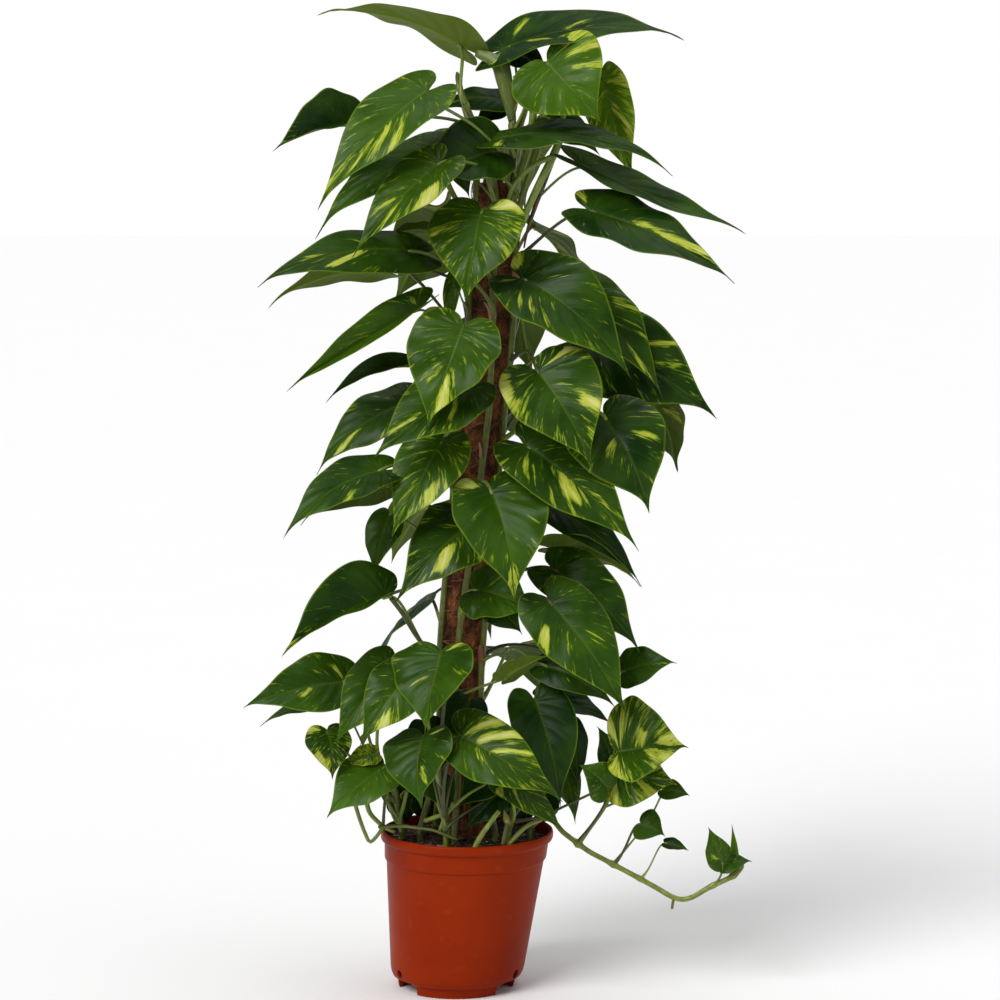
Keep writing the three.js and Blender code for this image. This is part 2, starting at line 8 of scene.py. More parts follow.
import bmesh
import bpy
import numpy as np
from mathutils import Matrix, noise


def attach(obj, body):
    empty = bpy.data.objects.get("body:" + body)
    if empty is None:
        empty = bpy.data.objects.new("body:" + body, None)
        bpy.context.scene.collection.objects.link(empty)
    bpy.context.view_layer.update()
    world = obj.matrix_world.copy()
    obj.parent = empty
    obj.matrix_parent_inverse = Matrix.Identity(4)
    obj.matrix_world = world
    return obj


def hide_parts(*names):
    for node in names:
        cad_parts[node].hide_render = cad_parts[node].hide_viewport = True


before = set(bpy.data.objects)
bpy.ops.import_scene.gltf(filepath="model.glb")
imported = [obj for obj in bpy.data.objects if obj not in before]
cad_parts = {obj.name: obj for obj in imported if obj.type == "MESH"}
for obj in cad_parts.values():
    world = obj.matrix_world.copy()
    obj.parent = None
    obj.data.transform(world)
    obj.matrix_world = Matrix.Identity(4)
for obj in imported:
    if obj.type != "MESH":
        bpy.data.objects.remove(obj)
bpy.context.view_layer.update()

log = logging.getLogger("pothos")

Point = tuple[float, float, float]
Colour = tuple[float, float, float, float]
Patch = tuple[float, float, float, float, float]
Socket = bpy.types.NodeSocket

# Lengths are millimetres from the middle of the pot's foot until a mesh is made
POT_PLACE = np.array([-41.0, -14.0, 0.0])
MM = 0.001

# The eye of the front view, as in the part's source
EYE = np.array([39.4, -3100.0, 840.0])
PITCH = math.radians(6.4)
FOCAL = 3140.0
EYE_U, EYE_V = 39.0, 488.0

# The pole's axis
POLE_START_X, POLE_BEND = 1.0, 32.0
BEND_FROM, BEND_TO = 290.0, 750.0
POLE_FOOT, POLE_TOP = 34.0, 806.0
COIR_RADIUS, CORE_RADIUS, CORE_PROUD = 21.0, 10.0, 10.0
GAP = 0.6

# Stems
STEM_FOOT = (114.0, 152.0, 164.0)
CLIMB_STEP, APPROACH, APPROACH_RISE = 30.0, 7.0, 60.0
PETIOLE_ROOT = 0.05


class Growth(Enum):
    """How a stem grows."""

    CLIMBING = "climbing"
    SHOOT = "shoot"
    RUNNER = "runner"


@dataclass(frozen=True)
class Stem:
    """One stem: its place in the soil, its climb beside the pole and its free end."""

    growth: Growth
    radius: float
    stand: tuple[float, float]
    climb: tuple[tuple[float, float], ...] = ()
    end: tuple[Point, ...] = ()


@dataclass(frozen=True)
class Leaf:
    """One leaf seen from the front, with its green and its gold.

    Gold patches are (place along the edge, spread, from, to, strength), where from and to run
    from the midrib at 0 to the edge at 1, negative on the other half.
    """

    start: float
    base: Point
    tip: Point
    wide: float
    lift: float
    # Tone runs from dark green at 0 to fresh green at 1; it is set low as painted shade on leaves that lie in
    # shadow.
    tone: float = 0.3
    fleck: float = 0.2
    gold: tuple[Patch, ...] = ()
    twist: float = 0.0
    wave: float = 1.0
    keel: float | None = None
    arch: float | None = None
    via: tuple[Point, ...] = ()


@dataclass(frozen=True)
class Stub:
    """A bare stalk: the places that it passes, its sizes and its look.

    Swell widens its middle and narrow is what is left of the radius at its end, both as shares.
    """

    line: tuple[Point, ...]
    radius: float
    tone: float = 0.85
    woody: float = 0.2
    swell: float = 0.0
    narrow: float = 0.8


@dataclass(frozen=True)
class Fan:
    """A run of leaves on the unseen side, set by a rule."""

    low: float
    high: float
    count: int
    turns: tuple[float, float]
    long: float
    wide: float


STEMS = {
    "vine_front": Stem(
        Growth.CLIMBING, 3.3, (-6, -42),
        ((215, -6), (330, -14), (450, 4), (580, 12), (700, 2), (800, 4)),
        ((22, 842, 30), (6, 880, 30), (-4, 906, 24))),
    "vine_left": Stem(
        Growth.CLIMBING, 3.3, (-40, -22),
        ((215, -58), (330, -66), (450, -58), (560, -66), (660, -62), (732, -66))),
    "vine_right": Stem(
        Growth.CLIMBING, 3.3, (34, -30),
        ((215, 46), (330, 52), (450, 62), (580, 56), (700, 64), (800, 52)),
        ((50, 842, 24), (51, 870, 24), (45, 904, 24), (39, 925, 20), (16, 934, 14))),
    "vine_back_left": Stem(
        Growth.CLIMBING, 3.1, (-26, 34),
        ((215, -138), (330, -146), (450, -134), (580, -142), (700, -136), (800, -140)),
        ((12, 848, -24), (2, 886, -36), (-4, 916, -42))),
    "vine_back_right": Stem(
        Growth.CLIMBING, 3.1, (28, 34),
        ((215, 138), (330, 130), (450, 142), (580, 134), (700, 140), (800, 136)),
        ((56, 848, -22), (66, 884, -30))),
    "shoot_left": Stem(Growth.SHOOT, 2.7, (-58, -14), (), ((-61, 168, 17), (-66, 196, 22), (-74, 226, 26))),
    "shoot_front": Stem(Growth.SHOOT, 2.7, (-14, -62), (), ((-15, 168, 64), (-18, 192, 68), (-22, 214, 72))),
    "shoot_right": Stem(Growth.SHOOT, 2.7, (48, -44), (), ((50, 168, 46), (55, 194, 50), (62, 216, 52))),
    "shoot_back": Stem(Growth.SHOOT, 2.7, (6, 60), (), ((7, 168, -62), (10, 194, -68), (12, 222, -74))),
    "runner": Stem(
        Growth.RUNNER, 2.8, (68.8, -17.5), (),
        ((69, 160, 18), (80, 169, 20), (92, 167, 22), (102, 156, 25), (115, 146, 26),
         (129, 136, 28), (146, 127, 30), (176, 111, 33), (194, 101, 35), (214, 90, 36),
         (229, 90, 36), (249, 101, 34), (270, 111, 32), (280, 120, 31), (281, 127, 30))),
}

LEAVES = {
    "vine_front": (
        Leaf(880, (2, 941, 0), (-136, 977, 50), 74, 112, 0.62, 0.0),
        Leaf(850, (-104, 863, 35), (-184, 841, 72), 54, 45, 0.1, 0.1, ((0.93, 0.05, 0.3, 1, 0.6),), keel=1.0),
        Leaf(842, (-21, 840, 27), (-141, 759, 62), 70, 50, 0.3, 0.22, ((0.62, 0.03, -0.3, -0.8, 0.7),)),
        Leaf(676, (-46, 736, 60), (-196, 708, 98), 66, 48, 0.2, 0.16,
             ((0.74, 0.035, -0.08, -0.8, 1.5), (0.86, 0.03, 0.3, 0.7, 0.9), (0.66, 0.02, 0.3, 0.6, 0.6))),
        Leaf(770, (21, 777, 75), (5, 690, 105), 96, 20, 0.42, 0.3,
             ((0.22, 0.07, -0.3, -1, 1.7), (0.55, 0.03, 0.3, 0.9, 0.7), (0.5, 0.12, -0.4, -1, 0.35))),
        Leaf(640, (2, 660, 101), (-33, 565, 129), 92, 20, 0.4, 0.27,
             ((0.87, 0.07, -0.15, -1, 1.35), (0.78, 0.03, 0.2, 0.7, 0.7), (0.5, 0.03, -0.1, -0.5, 0.5))),
        Leaf(590, (9, 603, 85), (-85, 534, 118), 75, 30, 0.3, 0.24,
             ((0.6, 0.03, -0.1, -0.6, 1.3), (0.86, 0.03, 0.2, 0.9, 0.9), (0.45, 0.02, 0.2, 0.6, 0.5))),
        Leaf(505, (29, 498, 88), (53, 393, 118), 92, 15, 0.38, 0.2,
             ((0.2, 0.07, 0.45, 1, 1.7), (0.94, 0.04, 0.2, 1, 1.1), (0.94, 0.04, -0.2, -1, 0.9),
              (0.28, 0.02, -0.1, -0.5, 0.9))),
        Leaf(455, (16, 469, 66), (-62, 392, 106), 78, 25, 0.16, 0.26,
             ((0.76, 0.055, -0.2, -0.8, 1.5), (0.33, 0.03, 0.6, 1, 1.2), (0.5, 0.02, -0.5, -0.9, 0.9))),
        Leaf(385, (14, 398, 66), (73, 376, 85), 62, 20, 0.4, 0.15, ((0.6, 0.02, -0.2, -0.7, 0.7),), wave=2),
        Leaf(290, (44, 310, 50), (88, 332, 65), 40, 118, 0.5, 0.0),
    ),
    "vine_left": (
        Leaf(700, (-76, 716, 40), (-188, 686, 80), 48, 112, 0.4, 0.0),
        Leaf(640, (-42, 680, 62), (-168, 604, 100), 34, 48, 0.42, 0.2, ((0.35, 0.05, 0.2, 0.6, 0.9),),
             twist=0.5, keel=1.1, arch=0.02),
        # Painted shade: a thin leaf seen edge-on in shadow, given a dark tone for it.
        Leaf(600, (-54, 622, 48), (-132, 590, 76), 24, 45, 0.12, 0.05, keel=1.0),
        Leaf(565, (-48, 588, 38), (-141, 521, 60), 62, 38, 0.25, 0.2,
             ((0.86, 0.04, -0.2, -0.9, 1.2), (0.62, 0.03, 0.8, 1, 0.9))),
        Leaf(530, (-18, 548, 75), (-68, 455, 105), 70, 20, 0.42, 0.3,
             ((0.26, 0.04, 0.5, 1, 1.0), (0.72, 0.05, -0.6, -1, 1.4), (0.4, 0.02, 0.2, 0.7, 0.9))),
        Leaf(505, (-78, 518, 84), (-174, 457, 112), 54, 42, 0.22, 0.16, ((0.6, 0.03, -0.6, -1, 0.9),)),
        Leaf(470, (-75, 502, 45), (-157, 468, 65), 46, 124, 0.15, 0.0, ((0.8, 0.06, 0.2, 0.8, 0.4),)),
        Leaf(440, (-72, 471, 35), (-86, 415, 50), 38, 20, 0.4, 0.1),
        Leaf(330, (-73, 392, 70), (-175, 338, 105), 64, 48, 0.16, 0.14,
             ((0.95, 0.04, 0.2, 1, 0.8), (0.95, 0.04, -0.2, -1, 0.9), (0.24, 0.05, -0.4, -1, 0.7)), keel=1.1),
    ),
    "vine_right": (
        Leaf(888, (42, 939, 10), (214, 954, 50), 78, 58, 0.05, 0.14,
             ((0.28, 0.025, 0.2, 0.8, 1.2), (0.42, 0.03, -0.3, -0.8, 1.2), (0.58, 0.03, 0.1, 0.5, 1.0),
              (0.75, 0.03, -0.1, -0.6, 0.7))),
        Leaf(850, (86, 926, 55), (138, 869, 80), 98, 10, 0.62, 0.25,
             ((0.32, 0.07, -0.55, -1, 1.3), (0.5, 0.035, -0.3, -1, 1.1), (0.64, 0.03, -0.3, -1, 0.9))),
        Leaf(820, (44, 850, 54), (204, 821, 80), 60, 65, 0.18, 0.12, ((0.3, 0.04, 0.3, 0.8, 1.2),)),
        # Painted shade: a leaf in shadow behind the crown, given the darkest tone for it.
        Leaf(860, (44, 888, 4), (-24, 878, 2), 45, 60, 0.0, 0.0),
        Leaf(780, (-34, 897, 75), (-139, 788, 118), 72, 38, 0.42, 0.26,
             ((0.62, 0.03, -0.2, -0.9, 0.9), (0.74, 0.03, -0.1, -0.9, 1.0), (0.85, 0.03, -0.1, -0.8, 1.0),
              (0.93, 0.04, 0.1, 1, 0.9)),
             via=((47, 812, 32), (47, 828, 38), (37, 839, 44), (9, 865, 58))),
        # Painted shade: a leaf hanging in the shade under the crown, given a dark tone for it.
        Leaf(790, (34, 836, 46), (-48, 812, 80), 72, 25, 0.12, 0.05, keel=0.5),
        Leaf(770, (-20, 826, 90), (-105, 738, 128), 60, 35, 0.38, 0.28,
             ((0.55, 0.07, -0.6, -1, 1.6), (0.84, 0.03, -0.2, -0.9, 1.0), (0.8, 0.03, 0.3, 0.8, 0.8))),
        Leaf(766, (120, 824, 40), (278, 760, 70), 42, 60, 0.22, 0.08, arch=-0.03),
        Leaf(728, (130, 778, 60), (267, 712, 92), 70, 43, 0.12, 0.12,
             ((0.16, 0.05, -0.5, -1, 1.3), (0.72, 0.04, -0.03, -0.3, 1.3), (0.84, 0.06, -0.1, -1, 1.6),
              (0.92, 0.03, 0.05, 0.3, 0.9)), arch=0.04),
        Leaf(690, (60, 710, 72), (166, 618, 102), 86, 28, 0.22, 0.2,
             ((0.45, 0.02, 0.4, 0.7, 0.8), (0.53, 0.02, 0.3, 0.7, 0.85), (0.6, 0.02, 0.5, 0.9, 0.8),
              (0.2, 0.04, 0.2, 0.6, 0.9), (0.14, 0.06, -0.6, -1, 1.4))),
        Leaf(676, (100, 704, 40), (198, 600, 72), 78, 40, 0.25, 0.24,
             ((0.76, 0.03, 0.2, 0.8, 1.0), (0.62, 0.03, -0.6, -1, 1.0), (0.9, 0.04, 0.2, 0.9, 0.8))),
        Leaf(630, (76, 617, 95), (129, 526, 125), 96, 15, 0.3, 0.28,
             ((0.3, 0.028, -0.12, -1, 1.8), (0.36, 0.13, 0.78, 1, 1.7), (0.7, 0.04, -0.55, -0.95, 1.4),
              (0.52, 0.03, 0.5, 0.9, 0.5))),
        Leaf(550, (143, 572, 76), (187, 482, 96), 98, 20, 0.2, 0.2,
             ((0.68, 0.025, 0.1, 0.5, 0.9), (0.62, 0.03, -0.3, -0.8, 1.0))),
        Leaf(510, (64, 543, 80), (173, 446, 110), 78, 25, 0.2, 0.26,
             ((0.74, 0.08, 0.06, 0.6, 1.3), (0.45, 0.025, 0.3, 0.6, 1.0), (0.84, 0.05, -0.1, -0.5, 0.8))),
        Leaf(440, (92, 440, 35), (176, 407, 50), 50, 118, 0.3, 0.0),
        Leaf(400, (92, 419, 52), (176, 341, 70), 66, 25, 0.2, 0.2,
             ((0.6, 0.06, 0.03, 0.25, 1.2), (0.76, 0.06, 0.03, 0.3, 1.3), (0.4, 0.02, 0.2, 0.6, 0.7))),
        Leaf(370, (88, 387, 92), (163, 280, 118), 76, 15, 0.24, 0.2,
             ((0.5, 0.05, 0.5, 0.9, 1.2), (0.7, 0.02, -0.3, -0.6, 0.7))),
        # Painted shade: a leaf behind the others, given the darkest tone for the shadow that it lies in.
        Leaf(480, (84, 486, 26), (177, 409, 40), 46, 25, 0.0, 0.05),
    ),
    "vine_back_right": (
        # Partly painted light: this leaf is lit through from behind, and its freshest tone and heavy gold are
        # partly its variegation, partly that glow.
        Leaf(850, (141, 908, 0), (172, 812, 15), 54, -25, 1.0, 0.46,
             ((0.4, 0.03, 0.2, 1, 0.9), (0.4, 0.03, -0.2, -1, 0.9), (0.7, 0.03, -0.1, -0.8, 0.8))),
        Leaf(810, (87, 870, 30), (137, 836, 45), 42, 30, 0.3, 0.15),
        Leaf(605, (124, 646, 8), (250, 577, 38), 102, 24, 0.15, 0.18,
             ((0.66, 0.02, -0.2, -1, 1.3), (0.56, 0.02, 0.3, 0.8, 0.7), (0.8, 0.02, -0.3, -1, 0.8))),
        Leaf(570, (188, 592, 6), (216, 521, 20), 78, 130, 0.25, 0.1, ((0.62, 0.06, 0.2, 0.8, 1.3),)),
        Leaf(330, (163, 316, 40), (213, 326, 50), 44, 30, 0.25, 0.15, ((0.92, 0.06, 0.2, 1, 1.0),)),
    ),
    "shoot_left": (
        Leaf(214, (-114, 307, 45), (-213, 284, 70), 66, 30, 0.28, 0.2,
             ((0.44, 0.04, 0.08, 0.45, 1.5), (0.75, 0.03, -0.1, -0.5, 0.9))),
        Leaf(200, (-130, 286, 30), (-198, 265, 45), 26, 50, 0.2, 0.1),
        Leaf(220, (-69, 323, 72), (-124, 248, 96), 60, 15, 0.36, 0.2, ((0.78, 0.05, -0.6, -1, 0.6),)),
        Leaf(190, (-134, 257, 70), (-129, 211, 80), 48, 20, 0.15, 0.36,
             ((0.25, 0.06, 0.4, 1, 1.3), (0.7, 0.08, 0.75, 1, 1.3), (0.85, 0.06, 0.3, 1, 0.7))),
        Leaf(165, (-80, 219, 60), (-132, 174, 85), 60, 30, 0.55, 0.18, ((0.4, 0.02, -0.2, -0.6, 0.8),)),
        Leaf(175, (-86, 234, 50), (-118, 223, 60), 26, 30, 0.5, 0.55),
    ),
    "shoot_front": (
        Leaf(205, (-51, 316, 92), (-99, 248, 114), 60, 20, 0.4, 0.22,
             ((0.8, 0.07, -0.55, -1, 1.6), (0.6, 0.02, -0.2, -0.5, 0.7))),
        Leaf(208, (-20, 334, 98), (-36, 261, 132), 90, 32, 0.34, 0.16,
             ((0.18, 0.035, -0.3, -1, 1.7), (0.55, 0.02, -0.4, -0.8, 0.8), (0.7, 0.02, 0.2, 0.7, 0.6))),
        Leaf(190, (-38, 251, 92), (-40, 184, 120), 76, 30, 0.32, 0.16,
             ((0.25, 0.03, -0.3, -0.85, 1.5), (0.82, 0.06, -0.3, -0.8, 0.8))),
        Leaf(180, (-1, 253, 96), (97, 192, 122), 68, 20, 0.32, 0.28,
             ((0.45, 0.03, -0.08, -0.9, 1.5), (0.58, 0.035, -0.08, -0.95, 1.5), (0.72, 0.03, -0.1, -0.9, 1.1),
              (0.6, 0.03, 0.1, 0.4, 0.8))),
    ),
    "shoot_right": (
        Leaf(175, (42, 210, 86), (101, 158, 102), 40, 30, 0.3, 0.26,
             ((0.4, 0.04, 0.1, 0.9, 1.2), (0.6, 0.03, 0.1, 0.8, 1.0))),
        Leaf(205, (74, 288, 56), (99, 188, 78), 65, 10, 0.06, 0.0),
        Leaf(212, (80, 290, 20), (149, 266, 34), 45, 50, 0.06, 0.0),
        Leaf(175, (146, 200, 64), (119, 223, 70), 42, 20, 0.4, 0.2, via=((82, 172, 44), (104, 182, 52))),
    ),
    "shoot_back": (
        # Painted shade: the leaves at the back get the darkest tone, for the shade that they lie in.
        Leaf(176, (-62, 206, -48), (-52, 172, -56), 50, 20, 0.0, 0.05),
        Leaf(186, (-18, 214, -52), (-16, 172, -60), 56, 15, 0.0, 0.05),
        Leaf(190, (30, 214, -52), (36, 172, -60), 56, 15, 0.0, 0.05),
        Leaf(180, (76, 206, -46), (74, 172, -54), 48, 20, 0.0, 0.05),
    ),
    "runner": (
        Leaf(117, (158, 236, 52), (224, 242, 60), 98, 35, 0.35, 0.36,
             ((0.2, 0.06, -0.1, -1, 1.3), (0.42, 0.035, -0.1, -0.9, 1.2), (0.7, 0.05, -0.05, -0.4, 1.2),
              (0.9, 0.06, -0.2, -1, 1.2), (0.3, 0.1, 0.2, 1, 0.8), (0.8, 0.06, 0.1, 1, 1.0)),
             keel=0.7, via=((144, 181, 38), (155, 212, 46))),
        Leaf(117, (153, 215, 34), (214, 205, 44), 68, 20, 0.35, 0.42,
             ((0.4, 0.04, 0.1, 1, 1.1), (0.6, 0.04, -0.1, -1, 1.1), (0.75, 0.04, 0.2, 1, 1.0)),
             via=((142, 180, 37),)),
        Leaf(117, (151, 223, 22), (137, 261, 26), 30, 30, 0.15, 0.1, via=((142, 180, 34),)),
        Leaf(152, (202, 199, 38), (228, 193, 44), 22, 20, 0.25, 0.05, via=((186, 166, 30),)),
        Leaf(152, (180, 164, 40), (203, 153, 46), 36, 20, 0.3, 0.1),
        Leaf(178, (205, 145, 38), (227, 138, 42), 14, 30, 0.1, 0.0),
        Leaf(250, (262, 124, 38), (248, 160, 42), 28, 10, 0.34, 0.25, ((0.6, 0.04, -0.1, -0.6, 1.0),)),
        Leaf(270, (262, 122, 34), (290, 127, 36), 22, 30, 0.3, 0.15),
        Leaf(272, (274, 125, 30), (271, 163, 30), 8, 0, 0.8, 0.1, keel=0.8),
    ),
}

# Small leaves between the others, most of them set to a dark tone as painted shade for the shadow that they
# lie in
SMALL_LEAVES = {
    "vine_front": (
        Leaf(700, (-27, 757, 46), (-73, 752, 36), 27, 112, 0.05, 0.0),
        Leaf(380, (30, 384, 50), (60, 356, 58), 34, 15, 0.15, 0.1),
        Leaf(780, (-8, 830, 34), (8, 792, 38), 24, 15, 0.3, 0.1),
    ),
    "vine_left": (Leaf(680, (-6, 712, 36), (-10, 658, 42), 18, 15, 0.5, 0.3),),
    "vine_right": (
        Leaf(330, (84, 322, 54), (152, 284, 72), 38, 20, 0.08, 0.05),
        Leaf(850, (44, 884, 0), (14, 862, 2), 26, 20, 0.0, 0.0),
        Leaf(870, (54, 936, -6), (88, 914, 16), 30, 20, 0.0, 0.05),
    ),
    "shoot_front": (
        Leaf(175, (-30, 208, 40), (-10, 176, 54), 38, 25, 0.25, 0.0),
        Leaf(178, (8, 286, 44), (-12, 234, 54), 46, 20, 0.0, 0.0),
        Leaf(172, (-34, 262, 40), (-24, 206, 50), 44, 15, 0.05, 0.05),
        Leaf(168, (42, 198, 44), (6, 160, 54), 40, 15, 0.0, 0.0),
    ),
    "shoot_right": (
        Leaf(185, (34, 214, 42), (-2, 181, 56), 42, 20, 0.0, 0.0),
        Leaf(180, (98, 228, 40), (114, 168, 50), 34, 25, 0.3, 0.2),
        Leaf(195, (110, 262, 34), (116, 204, 44), 30, 20, 0.0, 0.0),
    ),
    "shoot_back": (
        Leaf(172, (-60, 190, -36), (-54, 166, -40), 36, 15, 0.0, 0.0),
        Leaf(176, (-36, 192, -44), (-30, 167, -50), 38, 15, 0.05, 0.0),
        Leaf(180, (4, 192, -50), (6, 167, -56), 40, 10, 0.0, 0.0),
        Leaf(182, (30, 190, -50), (34, 167, -56), 38, 12, 0.1, 0.0),
        Leaf(178, (62, 190, -42), (66, 166, -48), 38, 15, 0.0, 0.0),
        Leaf(180, (50, 198, -46), (50, 168, -52), 38, 12, 0.0, 0.0),
        Leaf(176, (84, 192, -38), (80, 163, -44), 34, 15, 0.0, 0.0),
    ),
}

# Winged leaf stalks in the crown, cut and creeping ones at the foot, and the runner's joints
STUBS = {
    "vine_left": (
        Stub(((-70, 390, 68), (-58, 374, 62), (-46, 354, 52), (-30, 332, 38)), 2.3, 0.25, 0.3),
        Stub(((-52, 716, 34), (-38, 702, 40), (-26, 688, 42), (-12, 670, 40), (-2, 654, 34)), 1.7, 0.25, 0.4),
    ),
    "vine_right": (
        Stub(((54, 912, 20), (53, 880, 24), (54, 850, 28), (53, 822, 30), (50, 798, 30)), 1.9, 0.05),
        Stub(((51, 866, 24), (48, 888, 25), (43, 908, 25), (36, 925, 22), (16, 935, 14)),
             3.4, 0.45, 0.1, 1.2, 1.2),
        Stub(((73, 888, 20), (71, 862, 22), (64, 830, 26), (54, 800, 28), (50, 778, 28)), 4.0, 0.9),
        Stub(((87, 884, 24), (82, 860, 26), (74, 832, 30), (66, 806, 32), (58, 780, 32)), 4.0, 0.75),
        Stub(((103, 876, 30), (100, 854, 34), (93, 834, 36), (80, 808, 38), (68, 782, 38), (60, 762, 36)),
             4.2, 1.0),
        # Partly painted shade: this dark stalk with brown scars stands for a dry brown flap and for the
        # shaded side of the stalk beside it.
        Stub(((96, 840, 28), (84, 808, 30), (73, 778, 31), (66, 756, 32), (63, 740, 34)),
             2.6, 0.0, 0.9, 0.3, 0.3),
        Stub(((92, 832, 44), (72, 822, 43), (54, 805, 42), (46, 786, 40)), 2.6, 0.8),
        Stub(((24, 828, 40), (27, 808, 43), (34, 786, 44), (38, 768, 40)), 2.2, 0.9),
        Stub(((14, 818, 30), (15, 800, 34), (14, 782, 34)), 3.0, 0.6),
        Stub(((-15, 808, 42), (-9, 796, 44), (-1, 782, 44)), 3.0, 1.0),
        Stub(((-42, 797, 60), (-38, 785, 62), (-25, 780, 63), (-15, 785, 61), (-11, 796, 58)), 2.9, 1.0, 0.5),
    ),
    "shoot_front": (
        Stub(((13, 138, 72), (20, 152, 70), (29, 165, 68), (38, 177, 64)), 2.9, 1.0, 0.4),
        Stub(((48, 143, 64), (58, 155, 62), (68, 163, 60), (80, 168, 56)), 2.5, 0.6),
        Stub(((42, 143, 66), (44, 155, 64), (46, 164, 62)), 2.3, 0.2, 0.6),
        Stub(((47, 163, 60), (45, 170, 60), (43, 178, 60)), 2.4, 1.0, 0.7, 0.6, 0.3),
        Stub(((-22, 154, 60), (-18, 166, 60), (-9, 180, 58), (9, 195, 56), (27, 204, 52), (44, 210, 48)),
             1.8, 0.9),
        Stub(((-36, 167, 50), (-25, 171, 56), (-13, 176, 58), (-8, 186, 58)), 2.5, 1.0),
        Stub(((-60, 155, 30), (-61, 168, 30), (-57, 184, 32), (-54, 197, 34)), 2.3, 0.9),
        Stub(((-61, 168, 30), (-68, 177, 30), (-75, 188, 30)), 1.5, 0.9),
        Stub(((-106, 184, 50), (-101, 168, 50), (-96, 155, 50), (-91, 146, 50), (-84, 152, 48),
              (-77, 161, 44), (-68, 162, 36)), 2.1, 0.85, 0.4),
        Stub(((-95, 188, 36), (-92, 177, 36), (-87, 170, 38), (-78, 162, 40), (-66, 156, 40)), 2.5, 0.85),
        Stub(((-82, 161, 42), (-61, 162, 54), (-44, 160, 60), (-26, 157, 64), (-4, 148, 68)), 1.9, 0.3),
        Stub(((-78, 158, 42), (-77, 176, 40), (-75, 200, 38)), 1.7, 0.2),
    ),
    "runner": (
        Stub(((214, 92, 36), (212, 86, 37), (211, 79, 38)), 1.6, 0.5, 0.8),
        Stub(((144, 181, 38), (149, 183, 40), (156, 186, 41)), 1.3, 0.5, 0.8),
    ),
}

FANS = {
    "vine_back_left": Fan(250, 820, 7, (-138, -160), 122, 78),
    "vine_back_right": Fan(285, 815, 7, (142, 172), 122, 78),
}


def draw(seed: float) -> float:
    """A number from 0 to 1, always the same for the same seed."""
    value = math.sin(seed * 12.9898) * 43758.5453
    return value - math.floor(value)


def unit(vector: np.ndarray) -> np.ndarray:
    """The vector, or each row's vector, at length one."""
    return vector / np.maximum(np.linalg.norm(vector, axis=-1, keepdims=True), 1e-12)


def tint(red: float, green: float, blue: float) -> Colour:
    """A colour as Blender's linear colour.

    Args:
        red: Its red from 0 to 255, as a screen shows it.
        green: Its green.
        blue: Its blue.

    Returns:
        The linear colour.
    """
    def linear(part: float) -> float:
        """One channel made linear."""
        share = part / 255
        return share / 12.92 if share <= 0.04045 else ((share + 0.055) / 1.055) ** 2.4
    return (linear(red), linear(green), linear(blue), 1.0)


def sight(place: Point) -> np.ndarray:
    """A place in the front view, carried along the line of sight to its depth.

    Args:
        place: Millimetres right, up and to the front.

    Returns:
        The point.
    """
    u, v, front = place
    up = (v - EYE_V) / FOCAL
    away = math.cos(PITCH) + up * math.sin(PITCH)
    rise = up * math.cos(PITCH) - math.sin(PITCH)
    reach = (-front - EYE[1]) / away
    return np.array([EYE[0] + (u - EYE_U) / FOCAL * reach, -front, EYE[2] + rise * reach])


def pole_axis(level: float | np.ndarray) -> np.ndarray:
    """The pole's axis.

    Args:
        level: A height, or several.

    Returns:
        The axis at that height, or at each of them.
    """
    share = np.clip((np.asarray(level, float) - BEND_FROM) / (BEND_TO - BEND_FROM), 0, 1)
    bend = share * share * (3 - 2 * share)
    return np.stack([POLE_START_X + POLE_BEND * bend, np.zeros_like(bend), np.asarray(level, float)], axis=-1)


def beside_pole(level: float, turn: float, radius: float) -> np.ndarray:
    """A point at a radius from the pole's axis, turned round it by degrees from the front."""
    angle = math.radians(turn)
    return pole_axis(level) + radius * np.array([math.sin(angle), -math.cos(angle), 0.0])


def grid_quads(grid: np.ndarray) -> np.ndarray:
    """The faces between the neighbours of a grid of point numbers.

    Args:
        grid: The numbers, by row and column.

    Returns:
        The faces, row by row.
    """
    return np.stack([grid[:-1, :-1], grid[:-1, 1:], grid[1:, 1:], grid[1:, :-1]], axis=-1).reshape(-1, 4)


def closed_quads(grid: np.ndarray) -> np.ndarray:
    """The faces of a grid of point numbers that closes round a body.

    Args:
        grid: The numbers, by row and place round the body.

    Returns:
        The faces, row by row.
    """
    return grid_quads(np.hstack([grid, grid[:, :1]]))


def level_ring(turns: np.ndarray) -> np.ndarray:
    """Level directions of length one, turned from the right towards the back."""
    return np.stack([np.cos(turns), np.sin(turns), 0 * turns], axis=-1)


def one_look(first: np.ndarray, second: np.ndarray | float = 0.0) -> np.ndarray:
    """The mark that a finish reads at each point: two values and a spare one."""
    return np.stack([first, second + 0 * first, 0 * first], axis=1)


def smooth_line(points: list[np.ndarray], fine: int = 12) -> np.ndarray:
    """A smooth line through points.

    Args:
        points: The points that it passes.
        fine: How many steps lie between two of them.

    Returns:
        Points in order along the line.
    """
    held = np.array(points, float)
    held = np.vstack([2 * held[0] - held[1], held, 2 * held[-1] - held[-2]])
    share = np.linspace(0, 1, fine, endpoint=False)[:, None]
    spans = []
    for a, b, c, d in zip(held, held[1:], held[2:], held[3:]):
        first, last = 0.5 * (c - a), 0.5 * (d - b)
        spans.append(b + first * share + (3 * (c - b) - 2 * first - last) * share ** 2
                     + (2 * (b - c) + first + last) * share ** 3)
    return np.vstack([*spans, held[-2]])


